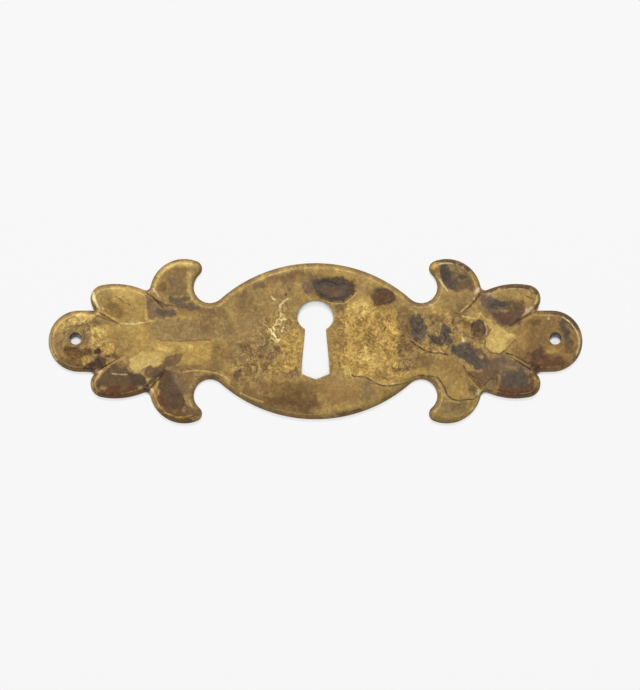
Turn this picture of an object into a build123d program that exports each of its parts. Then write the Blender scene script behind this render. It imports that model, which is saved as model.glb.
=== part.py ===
from build123d import *
import os
from math import atan2, degrees, sqrt

# Keyhole escutcheon for a drawer or cabinet front. It is one brass sheet, pressed so that its whole
# edge turns down over a bevel, with a keyhole, two pin holes and eight creases that part the leaves.
# X runs along the plate, Y towards the round end of the keyhole and Z out of the front face.
# The plate lies on its turned edge at Z = 0, with the origin under the middle of its outline.
# Sizes are in millimetres and angles in degrees.

# Sheet
sheet = 0.7  # thickness of the brass
depth = 1.5  # from the rim of the turned edge to the front face
edge_bevel = 0.8  # width and drop of the bevel round the whole outline

# Overall outline
length = 88.9
height = 27.4  # across the hooks
oval_height = 26.0  # across the middle oval
lobe_radius = 5.1  # round end lobes, and half the width of the strap that carries them

# Hooks beside the oval
hook_from_lobe = 17.5  # along X, from the middle of the lobe to the middle of the hook
hook_radius = 5.75
hook_tip_radius = 1.3
neck_from_hook = 4.25  # along X, from the middle of the hook to the middle of the hollow beside it
neck_rise = 1.1  # along Y, from the middle of the hook to the middle of the hollow
neck_radius = 2.7

# Leaves between the hooks and the lobes
leaf_angle = 1.0  # angle round the hook, from X, at which the leaf comes out from under it
leaf_back_radius = 11.9
leaf_tip_radius = 2.3
leaf_tip_lean = 121.0  # angle from X, from the notch at the lobe to the middle of the leaf's tip
notch_from_lobe = 3.0  # along X, from the middle of the lobe to the notch at the leaf
hook_notch_radius = 0.8  # round in the bottom of the notch between hook and leaf
lobe_notch_radius = 0.15  # round in the bottom of the notch between leaf and lobe

# Creases, pressed grooves that run in from the notches and fade out
crease_depth = 0.45  # at the notch
crease_flank = 0.7  # width of the sloping side, which carries on the bevel of the upper leaf
crease_step = 0.25  # width of the steep side
hook_crease_length = 5.0
hook_crease_angle = 228.0  # direction from the notch, from X
lobe_crease_length = 6.2
lobe_crease_angle = 212.0
crease_run_out = 1.2  # the press tool reaches this far past the notch

# Keyhole
key_head_width = 6.1
key_head_height = 5.2
key_head_rise = 4.15  # along Y, from the middle of the plate to the middle of the head
key_throat_width = 3.5  # slot where it leaves the head
key_throat_rise = 1.65  # from the middle of the plate to the throat
key_foot_width = 4.85  # slot at its lower corners
key_foot_drop = 5.4  # from the middle of the plate to the lower corners
key_point_drop = 0.95  # from the lower corners to the point between them
key_corner_radius = 0.25
key_point_radius = 0.8

# Pin holes in the lobes
pin_from_lobe = 0.55  # along X, outwards from the middle of the lobe
pin_rise = 0.45  # along Y, from the middle of the lobe
pin_hole = 2.0

inside_bevel = edge_bevel - sheet * (2 - sqrt(2))  # keeps the sheet's thickness behind the bevel


def towards(start, angle, distance):
    """The point at a distance from a start, in the direction of an angle from X."""
    return start + Vector(distance, 0).rotate(Axis.Z, angle)


def on_circle(centre, radius, beyond):
    """The point of a circle on the way from its centre through another point."""
    return centre + (beyond - centre).normalized() * radius


def crossing(centre_a, radius_a, centre_b, radius_b):
    """The crossing of two circles on the left of the way from A to B."""
    way = centre_b - centre_a
    along = (radius_a**2 - radius_b**2 + way.length**2) / (2 * way.length)
    aside = sqrt(radius_a**2 - along**2)
    ahead = way.normalized()
    return centre_a + ahead * along + ahead.rotate(Axis.Z, 90) * aside


def arc(centre, start, end, clockwise=True):
    """Draws the arc about a centre from start to end."""
    turn = -1 if clockwise else 1
    first, last = start - centre, end - centre
    sweep = degrees(atan2(last.Y, last.X) - atan2(first.Y, first.X)) * turn % 360 * turn
    return ThreePointArc(start, centre + first.rotate(Axis.Z, sweep / 2), end)


# Centres of the rounds in the quarter where X and Y are positive
lobe = Vector(length / 2 - lobe_radius, 0)
hook = Vector(lobe.X - hook_from_lobe, height / 2 - hook_radius)
neck = hook + Vector(-neck_from_hook, neck_rise)
hook_tip = crossing(neck, neck_radius + hook_tip_radius, hook, hook_radius - hook_tip_radius)
hook_notch = towards(hook, leaf_angle, hook_radius)
lobe_notch = Vector(lobe.X - notch_from_lobe, lobe_radius)
leaf_tip = towards(lobe_notch, leaf_tip_lean, leaf_tip_radius)
leaf_back = crossing(leaf_tip, leaf_back_radius - leaf_tip_radius, hook_notch, leaf_back_radius)

# The oval's flank touches the hollow of the neck, so its radius follows from both
oval_top = Vector(0, oval_height / 2)
neck_drop = oval_top.Y - neck.Y
oval_radius = (neck.X**2 + neck_drop**2 - neck_radius**2) / (2 * (neck_drop + neck_radius))
oval = Vector(0, oval_top.Y - oval_radius)

# Rounds in the bottom of the notches, which touch both sides of the notch from outside the metal
hook_notch_round = crossing(
    hook, hook_radius + hook_notch_radius, leaf_back, leaf_back_radius + hook_notch_radius
)
lobe_notch_level = lobe_radius + lobe_notch_radius
lobe_notch_reach = sqrt((leaf_tip_radius + lobe_notch_radius) ** 2 - (leaf_tip.Y - lobe_notch_level) ** 2)
lobe_notch_round = Vector(leaf_tip.X + lobe_notch_reach, lobe_notch_level)

# Points where one stretch of the outline runs into the next
oval_end = on_circle(oval, oval_radius, neck)
neck_end = on_circle(neck, neck_radius, hook_tip)
hook_start = on_circle(hook, hook_radius, hook_tip)
hook_end = on_circle(hook, hook_radius, hook_notch_round)
leaf_start = on_circle(leaf_back, leaf_back_radius, hook_notch_round)
leaf_turn = on_circle(leaf_back, leaf_back_radius, leaf_tip)
leaf_end = on_circle(leaf_tip, leaf_tip_radius, lobe_notch_round)
strap_start = Vector(lobe_notch_round.X, lobe_radius)
lobe_start = Vector(lobe.X, lobe_radius)
lobe_end = Vector(lobe.X + lobe_radius, 0)

with BuildSketch() as outline:
    with BuildLine():
        arc(oval, oval_top, oval_end)
        arc(neck, oval_end, neck_end, clockwise=False)
        arc(hook_tip, neck_end, hook_start)
        arc(hook, hook_start, hook_end)
        arc(hook_notch_round, hook_end, leaf_start, clockwise=False)
        arc(leaf_back, leaf_start, leaf_turn)
        arc(leaf_tip, leaf_turn, leaf_end)
        arc(lobe_notch_round, leaf_end, strap_start, clockwise=False)
        Line(strap_start, lobe_start)
        arc(lobe, lobe_start, lobe_end)
        mirror(about=Plane.XZ)
        mirror(about=Plane.YZ)
    make_face()

with BuildSketch() as keyhole:
    with BuildLine():
        Polyline(
            (0, key_head_rise),
            (key_throat_width / 2, key_head_rise),
            (key_throat_width / 2, key_throat_rise),
            (key_foot_width / 2, -key_foot_drop),
            (0, -key_foot_drop - key_point_drop),
        )
        mirror(about=Plane.YZ)
    make_face()
    fillet(keyhole.vertices().sort_by(Axis.Y)[1:3], key_corner_radius)
    fillet(keyhole.vertices().sort_by(Axis.Y)[0], key_point_radius)
    with Locations((0, key_head_rise)):
        Ellipse(key_head_width / 2, key_head_height / 2)

# The press tool for the creases: a V that slopes down from the front face to each notch and is as
# tall as the plate, with its flank on the side of the leaf that lies above
tool_flank = crease_flank / crease_depth * depth
tool_step = crease_step / crease_depth * depth
with BuildPart() as creases:
    for notch, run, angle in (
        (hook_notch, hook_crease_length, hook_crease_angle),
        (lobe_notch, lobe_crease_length, lobe_crease_angle),
    ):
        fade_out = towards(notch, angle, run) + Vector(0, 0, depth)
        way_out = notch + Vector(0, 0, depth - crease_depth) - fade_out
        with BuildSketch(Plane(fade_out, x_dir=Vector(0, 0, 1).cross(way_out), z_dir=way_out)):
            with BuildLine():
                Polyline((0, 0), (tool_flank, depth), (-tool_step, depth), close=True)
            make_face()
        extrude(amount=way_out.length + crease_run_out)
    mirror(about=Plane.XZ)
    mirror(about=Plane.YZ)

# The space behind the sheet, one sheet thickness inside the front in every direction
with BuildPart() as hollow:
    with BuildSketch():
        add(outline.sketch)
        offset(amount=-sheet)
    extrude(amount=depth - sheet)
    chamfer(hollow.faces().sort_by(Axis.Z)[-1].edges(), inside_bevel)
    add(creases.part.moved(Location((0, 0, -sheet))), mode=Mode.SUBTRACT)

with BuildPart() as escutcheon_plate:
    with BuildSketch():
        add(outline.sketch)
    extrude(amount=depth)
    chamfer(escutcheon_plate.faces().sort_by(Axis.Z)[-1].edges(), edge_bevel)
    add(hollow.part, mode=Mode.SUBTRACT)
    add(creases.part, mode=Mode.SUBTRACT)
    with BuildSketch():
        add(keyhole.sketch)
    extrude(amount=depth + sheet, mode=Mode.SUBTRACT)
    with Locations((lobe.X + pin_from_lobe, pin_rise, depth), (-lobe.X - pin_from_lobe, pin_rise, depth)):
        Hole(pin_hole / 2)

os.makedirs("parts", exist_ok=True)
escutcheon_plate.part.label = "escutcheon_plate"
export_step(escutcheon_plate.part, "parts/escutcheon_plate.step")
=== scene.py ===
"""Keyhole escutcheon of pressed and aged brass, dressed for its picture.

The plate is one sheet: a flat blank is cut to the outline, the keyhole and the pin holes of the CAD
plate, pressed to its bevel and creases by Geometry Nodes, and stained by shader nodes.
Lengths in the properties are in metres. Places on the plate's face are in millimetres from its middle.
"""

from collections import namedtuple
from math import ceil, cos, radians, sqrt

import bmesh
import bpy
import numpy as np
from bpy.props import FloatProperty, FloatVectorProperty, IntProperty, PointerProperty
from bpy.types import Operator, Panel, PropertyGroup
from mathutils import Color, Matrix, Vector
from mathutils.bvhtree import BVHTree
from mathutils.geometry import convex_hull_2d, delaunay_2d_cdt
from mathutils.kdtree import KDTree


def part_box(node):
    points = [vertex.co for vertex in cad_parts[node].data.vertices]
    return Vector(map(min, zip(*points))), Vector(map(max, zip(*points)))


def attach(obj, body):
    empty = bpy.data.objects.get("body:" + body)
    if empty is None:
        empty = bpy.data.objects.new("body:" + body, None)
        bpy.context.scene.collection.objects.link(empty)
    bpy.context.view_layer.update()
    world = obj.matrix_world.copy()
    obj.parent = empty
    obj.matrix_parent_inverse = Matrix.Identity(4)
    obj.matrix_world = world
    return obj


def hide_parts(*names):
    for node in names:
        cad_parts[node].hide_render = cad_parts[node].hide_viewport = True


bl_info = {
    "name": "Keyhole escutcheon",
    "version": (1, 0, 0),
    "blender": (4, 5, 0),
    "location": "3D View > Sidebar > Escutcheon",
    "description": "Presses and stains an aged brass keyhole plate and sets its stage",
    "category": "Object",
}

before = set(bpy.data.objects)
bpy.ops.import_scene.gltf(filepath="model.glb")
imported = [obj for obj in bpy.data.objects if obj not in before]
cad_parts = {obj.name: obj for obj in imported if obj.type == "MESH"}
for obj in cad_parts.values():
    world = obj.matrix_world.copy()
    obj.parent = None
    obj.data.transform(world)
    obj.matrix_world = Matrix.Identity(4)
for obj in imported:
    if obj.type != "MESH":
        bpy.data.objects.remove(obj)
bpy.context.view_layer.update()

MM = 0.001
PLATE_NODE = "escutcheon_plate"
PLATE_LOW, PLATE_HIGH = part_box(PLATE_NODE)

# Small lengths in metres
SAME_PLACE = 1e-7  # points closer than this are one point
SAME_HEIGHT = 1e-6  # faces closer in height than this are level
HAIR = 0.02 * MM  # too little to be seen
GRAIN_DEPTH = 0.02 * MM  # relief of the grain in the finish

# Spacing of the blank's points: rings over the bevel in widths of the bevel, all else in pitches
BEVEL_RINGS = (0.15, 0.38, 0.62, 0.82, 0.94, 1.06, 1.25)
HOLE_RINGS = (0.4, 1.0)
BACK_RINGS = (0.5, 1.0)
POINT_GAP = 0.6
CREASE_GAP = 0.5
NET_GAP = 1.5
RIM_PITCH = 1.5
BORDER_PITCH = 0.25
WALL_STEPS = 3  # bands down the outer wall

# How far the edge of a patch frays, in millimetres: a least reach, and more where the edge is blurred
LEAST_FRAY = 0.7
FRAY_OF_BLUR = 2.0

# How far a line frays, where it starts and where it is full, in widths of the line
LINE_FRAY = 1.2
LINE_START = 0.85
LINE_FULL = 0.3
FAR = 100.0  # in millimetres, further than any line is from any place

# The photo's frame in pixels, and its scale on the face of the plate
PHOTO_WIDTH, PHOTO_HEIGHT = 640, 690
PLATE_PIXELS = 534.7  # length of the plate in the photo
PLATE_MIDDLE = (315.5, 341.2)  # middle of the plate in the photo
PHOTO_SCALE = (PLATE_HIGH.x - PLATE_LOW.x) / PLATE_PIXELS

# What shows on the face, in millimetres: a patch is a convex field with a blurred edge, given by its
# corners, and a line is a chain of short straight runs
Patch = namedtuple("Patch", "name finish strength blur corners")
Line = namedtuple("Line", "name finish width strength points")

LEFT_PATCHES = (
    Patch("left strap", "gold", 0.6, 0.6, (
        (-37.3, 2.6), (-29, 3.4), (-26.8, 3.2), (-26.8, 0.4), (-27, -1.9), (-33.5, -2.2), (-37, -0.9),
    )),
    Patch("strap upper light", "bright", 0.45, 0.3, (
        (-33, 2.9), (-30.3, 3), (-30.2, 1.9), (-32.6, 1.8),
    )),
    Patch("strap gold strip", "bright", 0.6, 0.3, (
        (-37.2, 2.4), (-36.2, 2.5), (-34.6, 1.9), (-34.2, 0.2), (-35.5, -0.7), (-37, -0.8),
        (-37.3, 0.5),
    )),
    Patch("strap shade", "umber", 0.5, 0.3, (
        (-37, 3.6), (-35.2, 3.6), (-34.2, 3), (-35, 2.6), (-36.8, 2.7),
    )),
    Patch("lobe gold", "bright", 0.9, 0.2, (
        (-40.6, 4.5), (-38.5, 4.75), (-36.6, 4.3), (-37.3, 3.5), (-38.2, 3.1), (-39.2, 3.1),
    )),
    Patch("lobe left film", "umber", 0.25, 0.4, (
        (-43.6, 1.6), (-41.9, 1.6), (-41.8, -1.2), (-43, -2.2), (-43.7, -0.5),
    )),
    Patch("washer mark", "khaki", 0.65, 0.2, (
        (-41.9, 2.3), (-40.2, 2.7), (-38.4, 2.85), (-37.5, 2.4), (-37.4, 0.3), (-38, -0.7), (-41, -1),
        (-42.1, 0.5),
    )),
    Patch("lobe gold disc", "bright", 0.8, 0.2, (
        (-40.8, 3), (-40.6, 3.7), (-40, 3.9), (-39.5, 3.4), (-39.4, 2.9), (-40, 2.7),
    )),
    Patch("brown beside the pin", "umber", 0.45, 0.3, (
        (-39, 1.9), (-38, 1.7), (-37.5, 0.6), (-37.8, -0.4), (-38.9, -0.5),
    )),
    Patch("brown under the pin", "bronze", 0.95, 0.3, (
        (-42, -0.8), (-38.2, -1), (-36.9, -1.3), (-37.4, -2.2), (-39.5, -2.9), (-41.5, -2.6),
        (-42.2, -1.8),
    )),
    Patch("lobe foot", "bronze", 0.75, 0.5, (
        (-42.8, -2.6), (-41, -2.6), (-38.8, -3), (-38, -5.3), (-40.5, -5.4), (-42.6, -4.6),
    )),
    Patch("lobe lower gold", "gold", 0.55, 0.2, (
        (-39.2, -3.7), (-38.2, -2.9), (-37.4, -2.9), (-37.7, -3.6), (-38.5, -4),
    )),
    Patch("dark band", "cocoa", 0.95, 0.25, (
        (-38.5, -4.8), (-37.3, -3.4), (-36.3, -2.5), (-34.9, -2.7), (-34.6, -3.3), (-35.4, -4.3),
        (-36.8, -4.9),
    )),
    Patch("dark band head", "cocoa", 0.95, 0.2, (
        (-36.9, -1.5), (-35.7, -1.1), (-35.3, -1.6), (-35.9, -2.4), (-36.8, -2.3),
    )),
    Patch("dark band arm", "bronze", 0.95, 0.25, (
        (-34.7, -2.4), (-33.2, -2.1), (-32.6, -2.8), (-33.8, -3.1),
    )),
    Patch("speckled gold", "gold", 0.95, 0.2, (
        (-35, -1.2), (-34.2, -0.6), (-33.3, -1.2), (-33.7, -1.9), (-34.4, -2.2), (-34.9, -1.8),
    )),
    Patch("upper leaf", "gold", 0.55, 0.4, (
        (-36.6, 8.6), (-33, 9.2), (-29, 8.6), (-28, 7.5), (-28.1, 3.9), (-32, 3.2), (-36, 5.6),
    )),
    Patch("upper leaf olive", "ground", 0.7, 0.5, (
        (-36.6, 8.6), (-34.2, 8.9), (-33.9, 7), (-35.2, 5.8), (-36.3, 6.4),
    )),
    Patch("upper leaf shade", "bronze", 0.7, 0.5, (
        (-35.3, 5.5), (-34, 6.9), (-32.4, 5.8), (-31.6, 4.6), (-32.6, 4), (-34.2, 4.6),
    )),
    Patch("upper leaf glow", "bright", 0.6, 0.5, (
        (-34.2, 8.9), (-31.9, 8.9), (-30.2, 8.2), (-30.6, 6.9), (-33, 7.4),
    )),
    Patch("cream spot", "straw", 0.6, 0.15, ((-35.5, 5.5), (-35.1, 5.4), (-35.2, 5.1), (-35.6, 5.2))),
    Patch("upper hook brown", "umber", 0.45, 0.3, (
        (-25.2, 11.6), (-23.5, 12.2), (-21.6, 12.4), (-21.2, 11.2), (-21.4, 7.7), (-24.4, 7.4),
        (-26.2, 8.6), (-26, 10.2),
    )),
    Patch("upper hook mauve", "plum", 0.55, 0.3, (
        (-24.7, 10.6), (-23.4, 10.3), (-22.9, 9), (-24, 9.2),
    )),
    Patch("upper hook gold rim", "bright", 0.7, 0.3, (
        (-26.7, 10.9), (-25.4, 12.4), (-24, 12.9), (-24.2, 12.2), (-25.9, 10.8),
    )),
    Patch("upper hook gold top", "bright", 0.7, 0.3, (
        (-24.4, 12.3), (-24.2, 12.9), (-22, 13.3), (-20.5, 13.2), (-20.4, 12.6),
    )),
    Patch("upper hook left gold", "gold", 0.6, 0.3, (
        (-26.9, 10.2), (-25.3, 10.7), (-25, 9.9), (-26.2, 9.4), (-27, 9.4),
    )),
    Patch("upper hook spot", "bronze", 0.7, 0.2, (
        (-26, 9.5), (-25.2, 9.8), (-24.8, 9.1), (-25.2, 8.2), (-25.9, 8.5),
    )),
    Patch("upper hook inner gold", "bright", 0.6, 0.3, (
        (-21.4, 11.4), (-20.6, 11.6), (-20.2, 10), (-20.1, 8.5), (-20.6, 6.8), (-21.3, 8), (-21.5, 9.8),
    )),
    Patch("upper hook tip", "bright", 0.15, 0.3, (
        (-20.8, 12.9), (-19, 13.2), (-18.4, 11.8), (-20, 10.4), (-20.7, 11),
    )),
    Patch("olive field", "olive", 0.75, 0.25, (
        (-27.2, 3.4), (-14, 3.9), (-14, 0.3), (-19, 0.1), (-24, 0), (-26.5, 0.4), (-27.4, 1.2),
    )),
    Patch("mauve patch", "plum", 0.65, 0.2, (
        (-28.2, 7.6), (-27, 7.2), (-23.3, 5.4), (-23.2, 4.2), (-27.3, 3.7), (-27.8, 4.8),
    )),
    Patch("mauve slate", "slate", 0.6, 0.25, (
        (-26.1, 5.7), (-23.3, 5.2), (-23.3, 4.3), (-25, 4.2), (-26.3, 4.7),
    )),
    Patch("olive wedge", "olive", 0.8, 0.15, ((-25.9, 5.6), (-24.6, 5.9), (-23.3, 5.4), (-24.8, 5.2))),
    Patch("hook dark foot", "slate", 0.75, 0.25, (
        (-24.4, 7.3), (-22, 7.5), (-20.9, 7.3), (-21.1, 6.6), (-23, 6.4), (-24.3, 6.5),
    )),
    Patch("hook brown foot", "slate", 0.75, 0.3, (
        (-23.3, 6.4), (-20.5, 6.4), (-19.4, 5.8), (-20, 5.2), (-23.2, 5.4),
    )),
    Patch("neck brown", "umber", 0.6, 0.5, (
        (-19.6, 5.5), (-15, 5.6), (-14.8, 3.9), (-17.6, 3.8), (-19.4, 4.6),
    )),
    Patch("field mauve", "plum", 0.25, 0.5, ((-20.6, 3), (-18, 2.8), (-18, 1.2), (-20.3, 1.5))),
    Patch("gold band", "gold", 0.75, 0.25, (
        (-27, 0.2), (-17.4, 0.1), (-17.2, -1.5), (-18, -4.4), (-22.6, -3.6), (-27, -2.4),
    )),
    Patch("gold band glow", "bright", 0.55, 0.3, (
        (-22.6, -0.6), (-21.2, -0.3), (-20.5, -0.6), (-20.8, -1.2), (-22.4, -1.5),
    )),
    Patch("gold band left glow", "bright", 0.6, 0.3, (
        (-26.2, -0.8), (-23.6, -0.8), (-23.8, -1.5), (-26, -1.9),
    )),
    Patch("strap low shade", "umber", 0.4, 0.5, (
        (-33.4, 0.9), (-30.6, 1.1), (-30.4, -1), (-31.4, -3), (-33.4, -2.4),
    )),
    Patch("gold patch", "bright", 0.8, 0.2, (
        (-31.1, -4.2), (-30.6, -2.8), (-28.6, -1.6), (-25.8, -1.9), (-24.9, -2.6), (-25.8, -3.9),
        (-29.2, -5), (-30.1, -5.1),
    )),
    Patch("brown arm", "umber", 0.8, 0.2, (
        (-24.7, -2.6), (-23.9, -2.1), (-22, -2), (-22.4, -3), (-23.2, -4.4), (-25.3, -4.6),
        (-25.3, -3.4),
    )),
    Patch("brown arm foot", "umber", 0.9, 0.2, (
        (-28.5, -5.2), (-28, -4.5), (-25.2, -4), (-25, -5.4), (-26.5, -6.3), (-28.5, -6.2),
    )),
    Patch("lower leaf dark", "cocoa", 0.8, 0.25, (
        (-35.5, -5.2), (-33.5, -3.9), (-31.4, -4.6), (-28.4, -5.9), (-28.2, -7), (-30, -7.7),
        (-34.5, -7.9), (-36.2, -7.3),
    )),
    Patch("lower leaf brown", "umber", 0.6, 0.25, (
        (-33.9, -3.7), (-32.2, -3.3), (-31.1, -4), (-31.2, -5), (-33.5, -5),
    )),
    Patch("lower leaf heart", "soot", 0.55, 0.4, (
        (-30.9, -5.2), (-28.5, -5.4), (-28.2, -6.7), (-29, -7.4), (-30.5, -7),
    )),
    Patch("lower leaf red edge", "chestnut", 0.95, 0.25, (
        (-36.6, -8.6), (-34.6, -7.6), (-31, -7.4), (-29.4, -7.6), (-30, -9.2), (-34, -10),
        (-36.6, -9.4),
    )),
    Patch("lower leaf bronze edge", "bronze", 0.95, 0.3, (
        (-31.6, -8.3), (-29.6, -7.8), (-28.4, -8.2), (-29, -9.2), (-31.5, -9.6),
    )),
    Patch("lower leaf tip", "cocoa", 0.7, 0.3, (
        (-37.1, -6.4), (-36, -5.9), (-35.8, -7.2), (-36.2, -8.6), (-37, -8.3),
    )),
    # Painted highlight: a pink glint on the facet by the lower notch
    Patch("lower notch pink", "pink_glint_and_ring", 0.35, 0.2, (
        (-36.5, -5.1), (-35.6, -4.6), (-35.2, -4.9), (-35.9, -5.6),
    )),
    Patch("lower hook olive", "umber", 0.5, 0.3, (
        (-22.9, -4.2), (-20.2, -5.2), (-21.4, -9.5), (-22.2, -8.6), (-22.7, -6.5),
    )),
    Patch("lower hook dark", "cocoa", 0.85, 0.3, (
        (-25.7, -4.9), (-24, -4.7), (-23.2, -6.5), (-22.1, -9.2), (-21.5, -10.7), (-22.5, -11.6),
        (-24.5, -11.4), (-25.7, -9.5), (-26.1, -7.5),
    )),
    Patch("lower hook plum", "plum", 0.5, 0.3, (
        (-24.1, -4.2), (-22.9, -4.3), (-22.3, -7), (-22, -8.9), (-23.2, -8.5), (-24, -6.5),
    )),
    # Partly painted shade: the lower left crease and its notch are darkened nearly black over the dark
    # film there
    Patch("notch black", "soot", 0.95, 0.2, (
        (-28.9, -7.7), (-27.7, -7.1), (-27.4, -8.5), (-28.7, -8.7),
    )),
    Patch("crease black", "soot", 0.75, 0.2, (
        (-27.9, -7.2), (-27, -6.2), (-25.6, -5.1), (-25.3, -5.3), (-26.5, -6.8), (-27.5, -7.6),
    )),
    # Painted highlight on the notch's flank
    Patch("hook rim pale", "straw", 0.4, 0.2, (
        (-27.6, -8.2), (-27.1, -7.6), (-26.8, -8.1), (-27.2, -9.3), (-27.5, -9),
    )),
    Patch("lower hook amber rim", "amber", 0.8, 0.25, (
        (-27.2, -8.5), (-26.2, -7.9), (-25.9, -9), (-26.1, -10.8), (-26.9, -10.3),
    )),
    Patch("lower hook red", "chestnut", 0.95, 0.25, (
        (-26, -8.3), (-25.5, -8.5), (-24.4, -11.4), (-25.4, -11.4), (-26.1, -10),
    )),
    Patch("lower hook foot", "bronze", 0.95, 0.3, (
        (-26.9, -10.9), (-22, -11.7), (-20.5, -12.7), (-20.6, -14), (-24.4, -14), (-27, -12),
    )),
    Patch("lower hook tip", "umber", 0.95, 0.3, (
        (-21.6, -10.8), (-20.2, -11.2), (-19.2, -11.5), (-19.3, -12.5), (-21, -12.8), (-22.2, -12),
    )),
    Patch("hollow dark edge", "cocoa", 0.5, 0.2, (
        (-19.8, -5.9), (-18.4, -5.5), (-16.6, -5.6), (-15.6, -6.1), (-17, -6.6), (-19, -6.6),
    )),
    Patch("neck olive brown", "bronze", 0.4, 0.5, (
        (-17.3, -0.5), (-14, -0.3), (-13.5, -3.6), (-15.5, -4.9), (-17.3, -3.5),
    )),
    Patch("left brown", "umber", 0.35, 0.6, (
        (-14.5, -0.8), (-10.5, -0.6), (-9.5, -2.6), (-12, -3.4), (-14.5, -2.5),
    )),
    Patch("hook base shade", "umber", 0.35, 0.4, (
        (-24.5, -4), (-19, -3.9), (-18.5, -5), (-22, -5.2), (-24.5, -4.9),
    )),
)

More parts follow.
